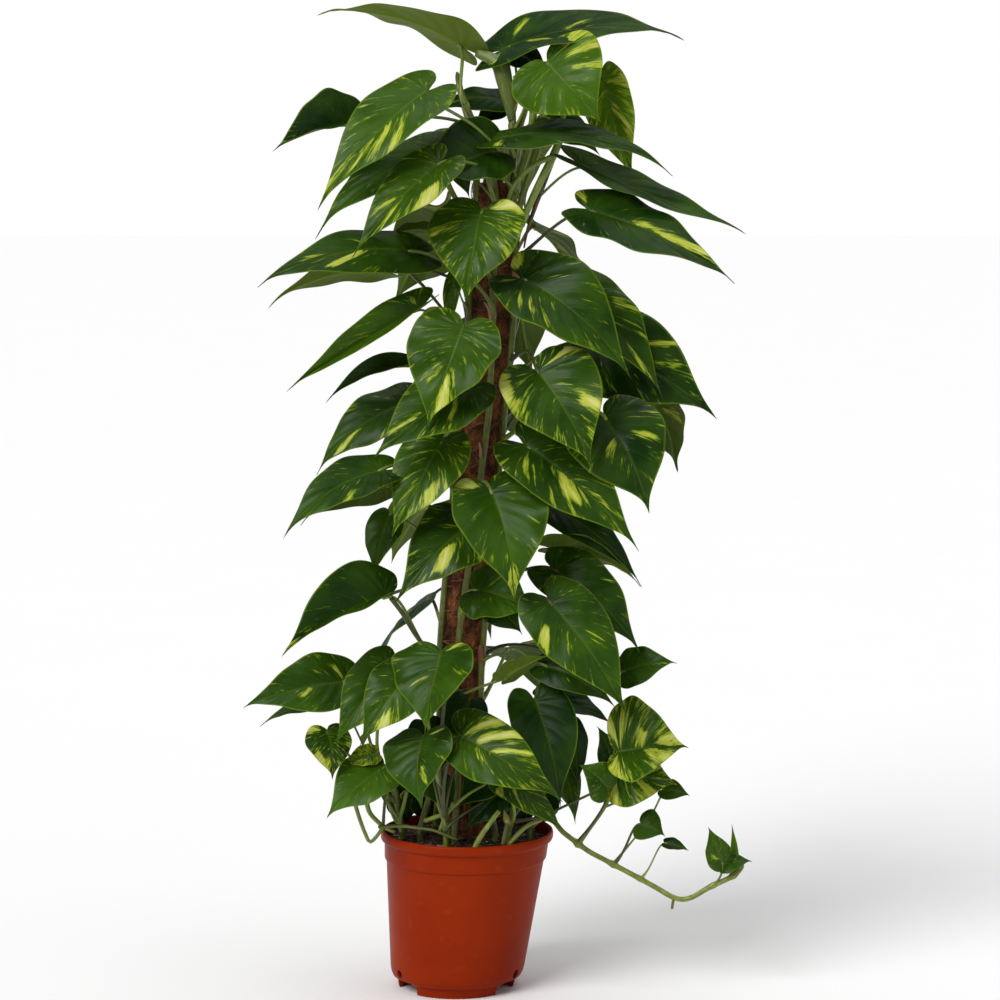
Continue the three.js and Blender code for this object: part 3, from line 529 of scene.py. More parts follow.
def arch_line(start: np.ndarray, rise: np.ndarray, fall: np.ndarray, end: np.ndarray,
              fine: int) -> np.ndarray:
    """An arched line.

    Args:
        start: Where it starts.
        rise: Where it heads for at first.
        fall: Where it comes in from at last.
        end: Where it ends.
        fine: How many points it has.

    Returns:
        Its points.
    """
    share = np.linspace(0, 1, fine)[:, None]
    back = 1 - share
    return back ** 3 * start + 3 * back ** 2 * share * rise + 3 * back * share ** 2 * fall + share ** 3 * end


def even_line(points: np.ndarray, count: int) -> np.ndarray:
    """The same line with points at even distances along it.

    Args:
        points: The line.
        count: How many points it gets.

    Returns:
        The new points.
    """
    far = np.concatenate([[0], np.cumsum(np.linalg.norm(np.diff(points, axis=0), axis=1))])
    wanted = np.linspace(0, far[-1], count)
    return np.stack([np.interp(wanted, far, points[:, k]) for k in range(3)], axis=1)


def put(name: str, data: bpy.types.ID) -> bpy.types.Object:
    """Puts a new object into the scene.

    Args:
        name: Its name.
        data: Its mesh, lamp or camera.

    Returns:
        The object.
    """
    piece = bpy.data.objects.new(name, data)
    bpy.context.scene.collection.objects.link(piece)
    return piece


class Stock:
    """The points, faces and marks of one piece, gathered before its mesh is made."""

    def __init__(self) -> None:
        """Starts with nothing."""
        self.points: list[np.ndarray] = []
        self.faces: list[list[int]] = []
        self.marks: dict[str, list[np.ndarray]] = {}
        self.count = 0

    def add(self, points: np.ndarray, faces: list[np.ndarray], **marks: np.ndarray) -> "Stock":
        """Takes in one body.

        Args:
            points: Its points, in millimetres from the pot's foot.
            faces: Arrays of faces, each array with one number of corners.
            marks: Named values at each point, one or three numbers each.

        Returns:
            The stock itself.
        """
        self.points.append(points)
        for block in faces:
            self.faces.extend((np.asarray(block) + self.count).tolist())
        for name, values in marks.items():
            self.marks.setdefault(name, []).append(np.asarray(values, np.float32))
        self.count += len(points)
        return self

    def build(self, name: str, finish: bpy.types.Material) -> bpy.types.Object:
        """Makes the piece.

        Args:
            name: The piece's name.
            finish: Its material.

        Returns:
            The new object, in place.
        """
        mesh = bpy.data.meshes.new(name)
        points = (np.vstack(self.points) + POT_PLACE) * MM
        mesh.from_pydata(points.tolist(), [], self.faces)
        for mark, values in self.marks.items():
            whole = np.concatenate(values)
            wide = whole.ndim == 2
            layer = mesh.attributes.new(mark, "FLOAT_VECTOR" if wide else "FLOAT", "POINT")
            layer.data.foreach_set("vector" if wide else "value", whole.ravel())
        mesh.shade_smooth()
        mesh.materials.append(finish)
        return put(name, mesh)


def seat(piece: bpy.types.Object, slot: str, *nodes: str) -> bpy.types.Object:
    """Rides a piece on the part, hides the nodes that it stands for and logs them.

    Args:
        piece: The piece.
        slot: Not used.
        nodes: The nodes that it replaces.

    Returns:
        The same piece.
    """
    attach(piece, "root")
    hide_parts(*nodes)
    log.info("%s: %d faces, for %s", piece.name, len(piece.data.polygons), ", ".join(nodes))
    return piece


def tubes(paths: np.ndarray, radii: np.ndarray, sides: int,
          ridge: float = 0.0, ridges: int = 3) -> tuple[np.ndarray, list[np.ndarray], np.ndarray]:
    """Closed tubes along lines with the same number of points.

    Args:
        paths: The lines, as lines by points by three.
        radii: The radius at each of their points.
        sides: Sides of a tube.
        ridge: How far its ridges stand out, as a share of the radius.
        ridges: How many ridges it has.

    Returns:
        Points, faces, and the angle round the tube at each point.
    """
    lines, count = paths.shape[:2]
    tangents = unit(np.gradient(paths, axis=1))
    spare = np.where(np.abs(tangents[:, 0, 2:3]) < 0.8, [[0.0, 0.0, 1.0]], [[1.0, 0.0, 0.0]])
    normal = unit(np.cross(tangents[:, 0], spare))
    normals = np.empty_like(paths)
    for i in range(count):
        along = tangents[:, i]
        normal = unit(normal - along * np.sum(normal * along, axis=1, keepdims=True))
        normals[:, i] = normal
    others = np.cross(tangents, normals)
    angle = 2 * math.pi * np.arange(sides) / sides
    ring = (np.cos(angle)[:, None] * normals[:, :, None, :] + np.sin(angle)[:, None] * others[:, :, None, :])
    size = radii[:, :, None, None] * (1 + ridge * np.cos(ridges * angle))[None, None, :, None]
    points = (paths[:, :, None, :] + size * ring).reshape(-1, 3)
    index = np.arange(lines * count * sides).reshape(lines, count, sides)
    turned = np.roll(index, -1, axis=2)
    quads = np.stack([index[:, :-1], turned[:, :-1], turned[:, 1:], index[:, 1:]], axis=-1).reshape(-1, 4)
    faces = [quads, index[:, 0, ::-1], index[:, -1]]
    return points, faces, np.tile(angle, lines * count)


def lathe(profile: np.ndarray, sides: int) -> tuple[np.ndarray, list[np.ndarray]]:
    """A closed turned body.

    Args:
        profile: Radius and height along its outline, from axis to axis.
        sides: Sides round the axis.

    Returns:
        Points and faces. The first and the last profile point lie on the axis.
    """
    angle = 2 * math.pi * np.arange(sides) / sides
    middle = profile[1:-1]
    rings = np.stack([middle[:, :1] * np.sin(angle), -middle[:, :1] * np.cos(angle),
                      np.repeat(middle[:, 1:], sides, axis=1)], axis=-1).reshape(-1, 3)
    ends = np.array([[0, 0, profile[0, 1]], [0, 0, profile[-1, 1]]])
    index = np.arange(len(middle) * sides).reshape(len(middle), sides)
    turned = np.roll(index, -1, axis=1)
    low, high = len(rings), len(rings) + 1
    foot = np.stack([np.full(sides, low), turned[0], index[0]], axis=-1)
    head = np.stack([np.full(sides, high), index[-1], turned[-1]], axis=-1)
    return np.vstack([rings, ends]), [closed_quads(index), foot, head]


def rounded(profile: list[tuple[float, float]], radius: float, steps: int = 3) -> np.ndarray:
    """A profile with its corners rounded.

    Args:
        profile: Its corners.
        radius: How far from a corner the rounding starts, at most.
        steps: Steps in a rounding.

    Returns:
        The finer profile.
    """
    corners = np.array(profile, float)
    fine = [corners[0]]
    for before, corner, after in zip(corners, corners[1:], corners[2:]):
        inward, outward = before - corner, after - corner
        reach = min(radius, 0.4 * np.linalg.norm(inward), 0.4 * np.linalg.norm(outward))
        start, end = corner + reach * unit(inward), corner + reach * unit(outward)
        for share in np.linspace(0, 1, steps + 1):
            fine.append((1 - share) ** 2 * start + 2 * share * (1 - share) * corner + share ** 2 * end)
    fine.append(corners[-1])
    return np.array(fine)


class Graph:
    """Short calls that add nodes to one shader tree."""

    def __init__(self, tree: bpy.types.NodeTree) -> None:
        """Works on a tree."""
        self.tree = tree

    def node(self, kind: str, **settings: object) -> bpy.types.Node:
        """Adds a node.

        Args:
            kind: Its type.
            settings: Values for its settings, by name.

        Returns:
            The node.
        """
        made = self.tree.nodes.new(kind)
        for name, value in settings.items():
            setattr(made, name, value)
        return made

    def feed(self, target: Socket, value: object) -> None:
        """Links a socket to another, or sets its value.

        Args:
            target: The input.
            value: The other socket, or the value.
        """
        if isinstance(value, Socket):
            self.tree.links.new(value, target)
        else:
            target.default_value = value

    def fill(self, node: bpy.types.Node, given: dict[str | int, object]) -> None:
        """Feeds a node's inputs, by name or number."""
        for name, value in given.items():
            self.feed(node.inputs[name], value)

    def math(self, operation: str, *values: object) -> Socket:
        """One sum on values.

        Args:
            operation: Blender's name for it.
            values: One to three values or sockets.

        Returns:
            The result.
        """
        made = self.node("ShaderNodeMath", operation=operation)
        self.fill(made, dict(enumerate(values)))
        return made.outputs[0]

    def swing(self, value: Socket, reach: float, about: object) -> Socket:
        """About, plus reach times how far a value lies from a half."""
        return self.math("MULTIPLY_ADD", self.math("SUBTRACT", value, 0.5), reach, about)

    def step(self, value: object, low: float, high: float) -> Socket:
        """0 below low, 1 above high, and a smooth way between.

        Args:
            value: What is looked at.
            low: Where the way starts.
            high: Where it ends.

        Returns:
            The share.
        """
        made = self.node("ShaderNodeMapRange", interpolation_type="SMOOTHSTEP")
        self.fill(made, {"Value": value, "From Min": low, "From Max": high})
        return made.outputs["Result"]

    def mix(self, share: object, first: object, second: object) -> Socket:
        """A blend of two colours.

        Args:
            share: How much of the second.
            first: The colour at share 0.
            second: The colour at share 1.

        Returns:
            The blend.
        """
        made = self.node("ShaderNodeMix", data_type="RGBA", clamp_factor=True)
        self.fill(made, {0: share, 6: first, 7: second})
        return made.outputs[2]

    def lay(self, under: object, mask: Socket, most: float, over: object) -> Socket:
        """A colour laid over another where a mask is, at most by a share."""
        return self.mix(self.math("MULTIPLY", mask, most), under, over)

    def noise(self, place: object, scale: object, detail: float, rough: float = 0.5) -> Socket:
        """Cloudy values about a half.

        Args:
            place: Where it is read.
            scale: How fine it is.
            detail: How many finer layers it has.
            rough: How strong those are.

        Returns:
            The values.
        """
        made = self.node("ShaderNodeTexNoise")
        self.fill(made, {"Vector": place, "Scale": scale, "Detail": detail, "Roughness": rough})
        return made.outputs["Fac"]

    def marked(self, name: str) -> Socket:
        """The three values that a mesh holds under a name."""
        return self.node("ShaderNodeAttribute", attribute_name=name).outputs["Vector"]

    def parts(self, vector: Socket) -> tuple[Socket, Socket, Socket]:
        """The three parts of a vector."""
        made = self.node("ShaderNodeSeparateXYZ")
        self.feed(made.inputs[0], vector)
        return tuple(made.outputs)

    def join(self, *values: object) -> Socket:
        """A vector from its parts.

        Args:
            values: The three parts.

        Returns:
            The vector.
        """
        made = self.node("ShaderNodeCombineXYZ")
        self.fill(made, dict(enumerate(values)))
        return made.outputs[0]

    def place(self) -> Socket:
        """The place on the object, in metres."""
        return self.node("ShaderNodeTexCoord").outputs["Object"]

    def use(self, group: bpy.types.NodeTree, **given: object) -> tuple[Socket, ...]:
        """Places a group.

        Args:
            group: The group.
            given: What its inputs get, by name.

        Returns:
            Its outputs.
        """
        made = self.node("ShaderNodeGroup", node_tree=group)
        self.fill(made, given)
        return tuple(made.outputs)

    def paint(self, shader: bpy.types.Node, colour: Socket, rough: object,
              height: Socket, strength: float, distance: float) -> None:
        """Feeds a Principled shader.

        Args:
            shader: The shader.
            colour: Its base colour.
            rough: Its roughness.
            height: The height that its bumps follow.
            strength: How strong the bumps are.
            distance: How high they stand, in metres.
        """
        bump = self.node("ShaderNodeBump")
        self.fill(bump, {"Strength": strength, "Distance": distance, "Height": height})
        self.fill(shader, {"Base Color": colour, "Roughness": rough, "Normal": bump.outputs["Normal"]})


VECTOR, FLOAT = "NodeSocketVector", "NodeSocketFloat"


def new_group(name: str, inputs: dict[str, str],
              outputs: tuple[str, ...]) -> tuple[Graph, bpy.types.Node, bpy.types.Node]:
    """An empty shader group with named sockets.

    Args:
        name: The group's name.
        inputs: Socket type by input name.
        outputs: Names of its outputs, each a value.

    Returns:
        Its graph, its input node and its output node.
    """
    group = bpy.data.node_groups.new(name, "ShaderNodeTree")
    for label, kind in inputs.items():
        group.interface.new_socket(label, in_out="INPUT", socket_type=kind)
    for label in outputs:
        group.interface.new_socket(label, in_out="OUTPUT", socket_type=FLOAT)
    graph = Graph(group)
    return graph, graph.node("NodeGroupInput"), graph.node("NodeGroupOutput")


def make_streaks() -> bpy.types.NodeTree:
    """Noise drawn out along one way: Across and Along say how fine it is each way.

    Returns:
        The group.
    """
    graph, start, end = new_group(
        "streaks", {"At": VECTOR, "Across": FLOAT, "Along": FLOAT, "Seed": FLOAT}, ("Value",))
    x, y, z = graph.parts(start.outputs["At"])
    across = graph.math("MULTIPLY", x, start.outputs["Across"])
    along = graph.math("MULTIPLY", y, start.outputs["Along"])
    apart = graph.math("MULTIPLY_ADD", z, 17.0, start.outputs["Seed"])
    graph.feed(end.inputs["Value"], graph.noise(graph.join(across, along, apart), 1.0, 3.0, 0.6))
    return graph.tree


def make_mottle() -> bpy.types.NodeTree:
    """Broad and fine cloudiness, and the height of a grain.

    Returns:
        The group.
    """
    graph, start, end = new_group("mottle", {"At": VECTOR, "Broad": FLOAT, "Fine": FLOAT}, ("Cloud", "Grain"))
    for output, scale, detail in (("Cloud", "Broad", 3.0), ("Grain", "Fine", 4.0)):
        graph.feed(end.inputs[output], graph.noise(start.outputs["At"], start.outputs[scale], detail))
    return graph.tree


@dataclass
class Effects:
    """The groups that more than one material uses, each built once."""

    streaks: bpy.types.NodeTree = field(default_factory=make_streaks)
    mottle: bpy.types.NodeTree = field(default_factory=make_mottle)


def new_finish(name: str) -> tuple[bpy.types.Material, Graph, bpy.types.Node]:
    """An empty material.

    Args:
        name: Its name.

    Returns:
        The material, its graph and its Principled shader.
    """
    made = bpy.data.materials.new(name)
    made.use_nodes = True
    return made, Graph(made.node_tree), made.node_tree.nodes["Principled BSDF"]


@dataclass(frozen=True)
class LeafFinish:
    """Waxy green blades with gold along the veins, paler and duller beneath."""

    dark: Colour = tint(16, 44, 4)
    fresh: Colour = tint(74, 112, 10)
    lime: Colour = tint(128, 160, 20)
    gold: Colour = tint(178, 188, 60)
    cream: Colour = tint(208, 208, 128)
    under_dark: Colour = tint(44, 62, 14)
    under_fresh: Colour = tint(128, 152, 48)
    lime_from: tuple[float, float] = (0.4, 0.68)
    gold_from: tuple[float, float] = (0.5, 0.98)
    cream_from: tuple[float, float] = (0.9, 1.6)
    pale_rim_and_edge_light: tuple[float, float] = (0.95, 0.99)
    veins: float = 9.0
    glow: float = 0.16
    polish: float = 0.15

    def make(self, effects: Effects) -> bpy.types.Material:
        """Builds the material.

        Args:
            effects: The shared groups.

        Returns:
            The material.
        """
        made, graph, shader = new_finish("leaf_blade")
        at = graph.marked("blade_at")
        place, across, _ = graph.parts(at)
        golden, tone, under = graph.parts(graph.marked("blade_look"))
        rib = graph.node("ShaderNodeAttribute", attribute_name="blade_rib").outputs["Fac"]
        broad = graph.use(effects.streaks, At=at, Across=34.0, Along=1.6, Seed=3.0)[0]
        thin = graph.use(effects.streaks, At=at, Across=110.0, Along=4.0, Seed=9.0)[0]
        cloud, fuzz = graph.use(effects.mottle, At=graph.place(), Broad=26.0, Fine=900.0)
        wild = graph.swing(thin, 1.1, graph.swing(broad, 2.0, golden))
        gilt = graph.step(wild, *self.gold_from)
        line = self.vein_lines(graph, place, across)
        # Dark to fresh green by each leaf's tone; a low tone also paints shade on leaves that lie in shadow,
        # and the top tone partly paints the glow of a leaf lit from behind.
        top = graph.mix(graph.swing(cloud, 0.9, tone), self.dark, self.fresh)
        top = graph.lay(top, line, 0.12, self.fresh)
        top = graph.lay(top, graph.step(wild, *self.lime_from), 0.45, self.lime)
        top = graph.mix(gilt, top, graph.mix(graph.step(wild, *self.cream_from), self.gold, self.cream))
        top = graph.lay(top, rib, 0.16, self.under_fresh)
        # A lime line along the edge: partly the blade's pale rim, partly a painted highlight where the edge
        # catches the light.
        top = graph.lay(top, graph.step(graph.math("ABSOLUTE", across), *self.pale_rim_and_edge_light), 0.4, self.lime)
        beneath = graph.mix(tone, self.under_dark, self.under_fresh)
        beneath = graph.lay(beneath, line, 0.25, self.under_fresh)
        beneath = graph.lay(beneath, gilt, 0.7, self.gold)
        beneath = graph.lay(beneath, rib, 0.7, self.under_fresh)
        colour = graph.mix(under, top, beneath)
        sheen = graph.math("MULTIPLY_ADD", cloud, 0.24, 0.24)
        ridges = graph.math("MULTIPLY_ADD", thin, 0.25, graph.math("MULTIPLY", line, -0.6))
        graph.paint(shader, colour, graph.math("MULTIPLY_ADD", under, 0.25, sheen),
                    graph.math("MULTIPLY_ADD", fuzz, 0.5, ridges), 0.35, 0.0005)
        shader.inputs["Specular IOR Level"].default_value = self.polish
        self.light_through(graph, shader, colour)
        return made

    def vein_lines(self, graph: Graph, place: Socket, across: Socket) -> Socket:
        """Side veins, where the place along the edge is a whole share of the veins.

        Args:
            graph: The material's graph.
            place: The place along the edge.
            across: The place from the midrib to the edge.

        Returns:
            The veins as a mask.
        """
        spread = graph.math("MULTIPLY", place, self.veins)
        off = graph.math("ABSOLUTE", graph.math("SUBTRACT", graph.math("FRACT", spread), 0.5))
        edge = graph.step(graph.math("ABSOLUTE", across), 1.0, 0.5)
        return graph.math("MULTIPLY", graph.step(off, 0.43, 0.5), edge)

    def light_through(self, graph: Graph, shader: bpy.types.Node, colour: Socket) -> None:
        """Lets a share of the light through the blade.

        Args:
            graph: The material's graph.
            shader: Its Principled shader.
            colour: The blade's colour.
        """
        through = graph.node("ShaderNodeBsdfTranslucent")
        graph.feed(through.inputs["Color"], graph.mix(0.45, colour, self.fresh))
        blend = graph.node("ShaderNodeMixShader")
        graph.fill(blend, {0: self.glow, 1: shader.outputs[0], 2: through.outputs[0]})
        graph.feed(graph.tree.nodes["Material Output"].inputs["Surface"], blend.outputs[0])


@dataclass(frozen=True)
class StalkFinish:
    """Green stems and leaf stalks, streaked along, some of them dark."""

    dark: Colour = tint(36, 42, 12)
    green: Colour = tint(114, 138, 42)
    pale: Colour = tint(170, 182, 96)
    brown: Colour = tint(104, 68, 34)

    def make(self, effects: Effects) -> bpy.types.Material:
        """Builds the material.

        Args:
            effects: The shared groups.

        Returns:
            The material.
        """
        made, graph, shader = new_finish("stalk_skin")
        tone, woody, _ = graph.parts(graph.marked("skin_look"))
        streak = graph.use(effects.streaks, At=graph.marked("skin_at"), Across=2.2, Along=0.05, Seed=2.0)[0]
        spots, grain = graph.use(effects.mottle, At=graph.place(), Broad=180.0, Fine=1400.0)
        colour = graph.mix(tone, self.dark, self.green)
        colour = graph.mix(graph.math("MULTIPLY", graph.step(streak, 0.5, 0.72), tone), colour, self.pale)
        scars = graph.math("MULTIPLY", graph.step(spots, 0.4, 0.62), woody)
        colour = graph.mix(scars, colour, self.brown)
        graph.paint(shader, colour, graph.math("MULTIPLY_ADD", streak, 0.3, 0.28),
                    graph.math("ADD", grain, streak), 0.3, 0.0006)
        return made


@dataclass(frozen=True)
class CoirFinish:
    """Red brown coconut fibre, light and dark by the strand, with painted shade in the hollows of the wrap.
    """

    deep: Colour = tint(66, 28, 12)
    warm: Colour = tint(176, 104, 46)
    straw: Colour = tint(208, 158, 84)

    def make(self, effects: Effects, name: str) -> bpy.types.Material:
        """Builds the material.

        Args:
            effects: The shared groups.
            name: The material's name.

        Returns:
            The material.
        """
        made, graph, shader = new_finish(name)
        shade, _, _ = graph.parts(graph.marked("skin_look"))
        strand = graph.use(effects.streaks, At=graph.marked("skin_at"), Across=7.0, Along=0.35, Seed=5.0)[0]
        cloud, grain = graph.use(effects.mottle, At=graph.place(), Broad=60.0, Fine=1600.0)
        colour = graph.mix(graph.step(graph.swing(cloud, 1.6, shade), 0.0, 0.9), self.deep, self.warm)
        colour = graph.mix(graph.step(strand, 0.55, 0.8), colour, self.straw)
        graph.paint(shader, colour, graph.math("MULTIPLY_ADD", strand, 0.2, 0.75),
                    graph.math("ADD", strand, grain), 0.8, 0.0012)
        return made


@dataclass(frozen=True)
class PotFinish:
    """Satin moulded plastic of a terracotta colour, faintly scuffed and dusty."""

    body: Colour = tint(138, 40, 5)
    deep: Colour = tint(124, 32, 4)
    dust: Colour = tint(160, 74, 38)
    polish: float = 0.05

    def make(self, effects: Effects) -> bpy.types.Material:
        """Builds the material.

        Args:
            effects: The shared groups.

        Returns:
            The material.
        """
        made, graph, shader = new_finish("pot_plastic")
        place = graph.place()
        cloud, grain = graph.use(effects.mottle, At=place, Broad=9.0, Fine=1900.0)
        specks, _ = graph.use(effects.mottle, At=place, Broad=70.0, Fine=420.0)
        x, y, z = graph.parts(place)
        scuff = graph.use(effects.streaks, At=graph.join(z, graph.math("ADD", x, y), 0.0),
                          Across=900.0, Along=16.0, Seed=4.0)[0]
        colour = graph.mix(graph.step(cloud, 0.3, 0.7), self.body, self.deep)
        worn = graph.math("MULTIPLY", graph.step(scuff, 0.62, 0.8), 0.12)
        dusty = graph.math("MULTIPLY", graph.step(specks, 0.56, 0.78), 0.16)
        colour = graph.mix(graph.math("ADD", worn, dusty), colour, self.dust)
        rough = graph.math("MULTIPLY_ADD", specks, 0.16, 0.3)
        graph.paint(shader, colour, graph.math("MULTIPLY_ADD", worn, 0.8, rough),
                    graph.math("MULTIPLY_ADD", scuff, 0.4, grain), 0.12, 0.0004)
        shader.inputs["Specular IOR Level"].default_value = self.polish
        return made


@dataclass(frozen=True)
class EarthFinish:
    """Damp peat with lighter crumbs of bark and a few pale grains."""

    deep: Colour = tint(26, 15, 9)
    brown: Colour = tint(84, 52, 32)
    pale: Colour = tint(196, 186, 168)

    def make(self, effects: Effects) -> bpy.types.Material:
        """Builds the material.

        Args:
            effects: The shared groups.

        Returns:
            The material.
        """
        made, graph, shader = new_finish("peat")
        shade, pale, _ = graph.parts(graph.marked("skin_look"))
        cloud, grain = graph.use(effects.mottle, At=graph.place(), Broad=240.0, Fine=1500.0)
        colour = graph.mix(graph.step(graph.swing(cloud, 1.4, shade), 0.1, 1.0), self.deep, self.brown)
        graph.paint(shader, graph.mix(pale, colour, self.pale), graph.math("MULTIPLY_ADD", cloud, 0.3, 0.68),
                    grain, 0.7, 0.0012)
        return made


@dataclass(frozen=True)
class HuskFinish:
    """Dry papery sheaths and thin brown roots."""

    brown: Colour = tint(104, 58, 34)
    tan: Colour = tint(168, 122, 82)

    def make(self, effects: Effects) -> bpy.types.Material:
        """Builds the material.

        Args:
            effects: The shared groups.

        Returns:
            The material.
        """
        made, graph, shader = new_finish("dry_husk")
        shade, _, _ = graph.parts(graph.marked("skin_look"))
        streak = graph.use(effects.streaks, At=graph.marked("skin_at"), Across=3.0, Along=0.08, Seed=7.0)[0]
        colour = graph.mix(graph.step(graph.swing(streak, 1.2, shade), 0.0, 1.0), self.brown, self.tan)
        graph.paint(shader, colour, graph.math("MULTIPLY_ADD", streak, 0.3, 0.55), streak, 0.5, 0.0006)
        return made


@dataclass(frozen=True)
class BlackFinish:
    """Black extruded plastic, of the core tube and the net."""

    black: Colour = tint(22, 21, 20)
    grey: Colour = tint(46, 44, 42)

    def make(self, effects: Effects) -> bpy.types.Material:
        """Builds the material.

        Args:
            effects: The shared groups.

        Returns:
            The material.
        """
        made, graph, shader = new_finish("black_plastic")
        cloud, grain = graph.use(effects.mottle, At=graph.place(), Broad=50.0, Fine=1200.0)
        colour = graph.mix(graph.step(cloud, 0.4, 0.7), self.black, self.grey)
        graph.paint(shader, colour, graph.math("MULTIPLY_ADD", cloud, 0.25, 0.3), grain, 0.2, 0.0004)
        return made


@dataclass(frozen=True)
class FloorFinish:
    """A pale matt floor."""

    pale: Colour = (0.9, 0.9, 0.9, 1.0)
    faint: Colour = (0.885, 0.885, 0.885, 1.0)
    rough: float = 0.9
    polish: float = 0.1

    def make(self, effects: Effects) -> bpy.types.Material:
        """Builds the material.

        Args:
            effects: The shared groups.

        Returns:
            The material.
        """
        made, graph, shader = new_finish("pale_floor")
        cloud, _ = graph.use(effects.mottle, At=graph.place(), Broad=3.0, Fine=200.0)
        colour = graph.mix(cloud, self.pale, self.faint)
        graph.fill(shader, {"Base Color": colour, "Roughness": self.rough, "Specular IOR Level": self.polish})
        return made


class Heart:
    """The grid that all blades share: places along and across the leaf, faces and rim."""

    EDGE = ((0, 0), (-0.12, 0.08), (-0.15, 0.27), (0, 0.45), (0.26, 0.5), (0.54, 0.38), (0.8, 0.145),
            (0.92, 0.048), (1.0, 0.012), (1.05, 0.0))
    RIB = (0, 0, 0, 0, 0.05, 0.22, 0.5, 0.72, 0.93, 1.05)
    ACROSS = (0, 0.022, 0.06, 0.13, 0.24, 0.37, 0.5, 0.63, 0.76, 0.88, 0.965, 1)
    NOTCH = 0.2

    def __init__(self, rows: int) -> None:
        """Lays the grid.

        Args:
            rows: How many rows it has from the notch to the tip.
        """
        edge, rib = self.outline(rows)
        share = np.concatenate([-np.array(self.ACROSS[:0:-1]), self.ACROSS])
        size = np.abs(share)
        along = rib[:, None] + (edge[:, :1] - rib[:, None]) * size ** 1.35
        aside = edge[:, 1:] * np.sign(share) * size ** 0.88
        place = np.linspace(0, 1, rows + 1)[:, None] * np.ones_like(along)
        flat = np.stack([along, aside], axis=-1).reshape(-1, 2)
        _, first, ids = np.unique(np.round(flat, 7), axis=0, return_index=True, return_inverse=True)
        grid = ids.reshape(along.shape)
        self.s, self.w = flat[first].T
        self.v = place.ravel()[first]
        self.t = np.tile(share, rows + 1)[first]
        centre = grid[0, 0]
        self.v[centre], self.t[centre] = self.NOTCH, 0.0
        self.t[grid[-1, 0]] = 0.0
        self.quads, self.threes = self.sort_faces(grid_quads(grid))
        rim = [*grid[:, -1], *grid[::-1, 0]]
        self.rim = np.array([a for a, b in zip(rim, rim[1:] + rim[:1]) if a != b])

    def outline(self, rows: int) -> tuple[np.ndarray, np.ndarray]:
        """The leaf's edge.

        Args:
            rows: How many rows the grid has.

        Returns:
            The edge from notch to tip at even distances, and where on the midrib its veins start.
        """
        fine = smooth_line([np.array([s, w, 0.0]) for s, w in self.EDGE], 16)
        rib = np.interp(np.linspace(0, len(self.RIB) - 1, len(fine)), np.arange(len(self.RIB)), self.RIB)
        far = np.concatenate([[0], np.cumsum(np.linalg.norm(np.diff(fine, axis=0), axis=1))])
        wanted = np.linspace(0, far[-1], rows + 1)
        edge = np.stack([np.interp(wanted, far, fine[:, k]) for k in (0, 1)], axis=1)
        edge[0] = 0.0
        edge[-1] = (self.EDGE[-1][0], 0.0)
        return edge, np.interp(wanted, far, rib)

    def sort_faces(self, cells: np.ndarray) -> tuple[np.ndarray, np.ndarray]:
        """Sorts the grid's cells.

        Args:
            cells: The point numbers of each cell's four corners, some of them the same.

        Returns:
            The cells with four corners of their own, and those with three.
        """
        quads, threes = [], []
        for cell in cells.tolist():
            kept = [a for a, b in zip(cell, cell[1:] + cell[:1]) if a != b]
            if len(set(kept)) == 4:
                quads.append(kept)
            elif len(set(kept)) == 3 and len(kept) == 3:
                threes.append(kept)
        return np.array(quads), np.array(threes)

    def normals(self, points: np.ndarray) -> np.ndarray:
        """The normals of a blade with this grid.

        Args:
            points: The blade's points.

        Returns:
            The surface's normal at each of them.
        """
        total = np.zeros_like(points)
        for block in (self.quads, self.threes):
            a, b, c = points[block[:, 0]], points[block[:, 1]], points[block[:, 2]]
            turn = np.cross(b - a, c - a)
            if block.shape[1] == 4:
                turn += np.cross(c - a, points[block[:, 3]] - a)
            for corner in block.T:
                np.add.at(total, corner, turn)
        return unit(total)


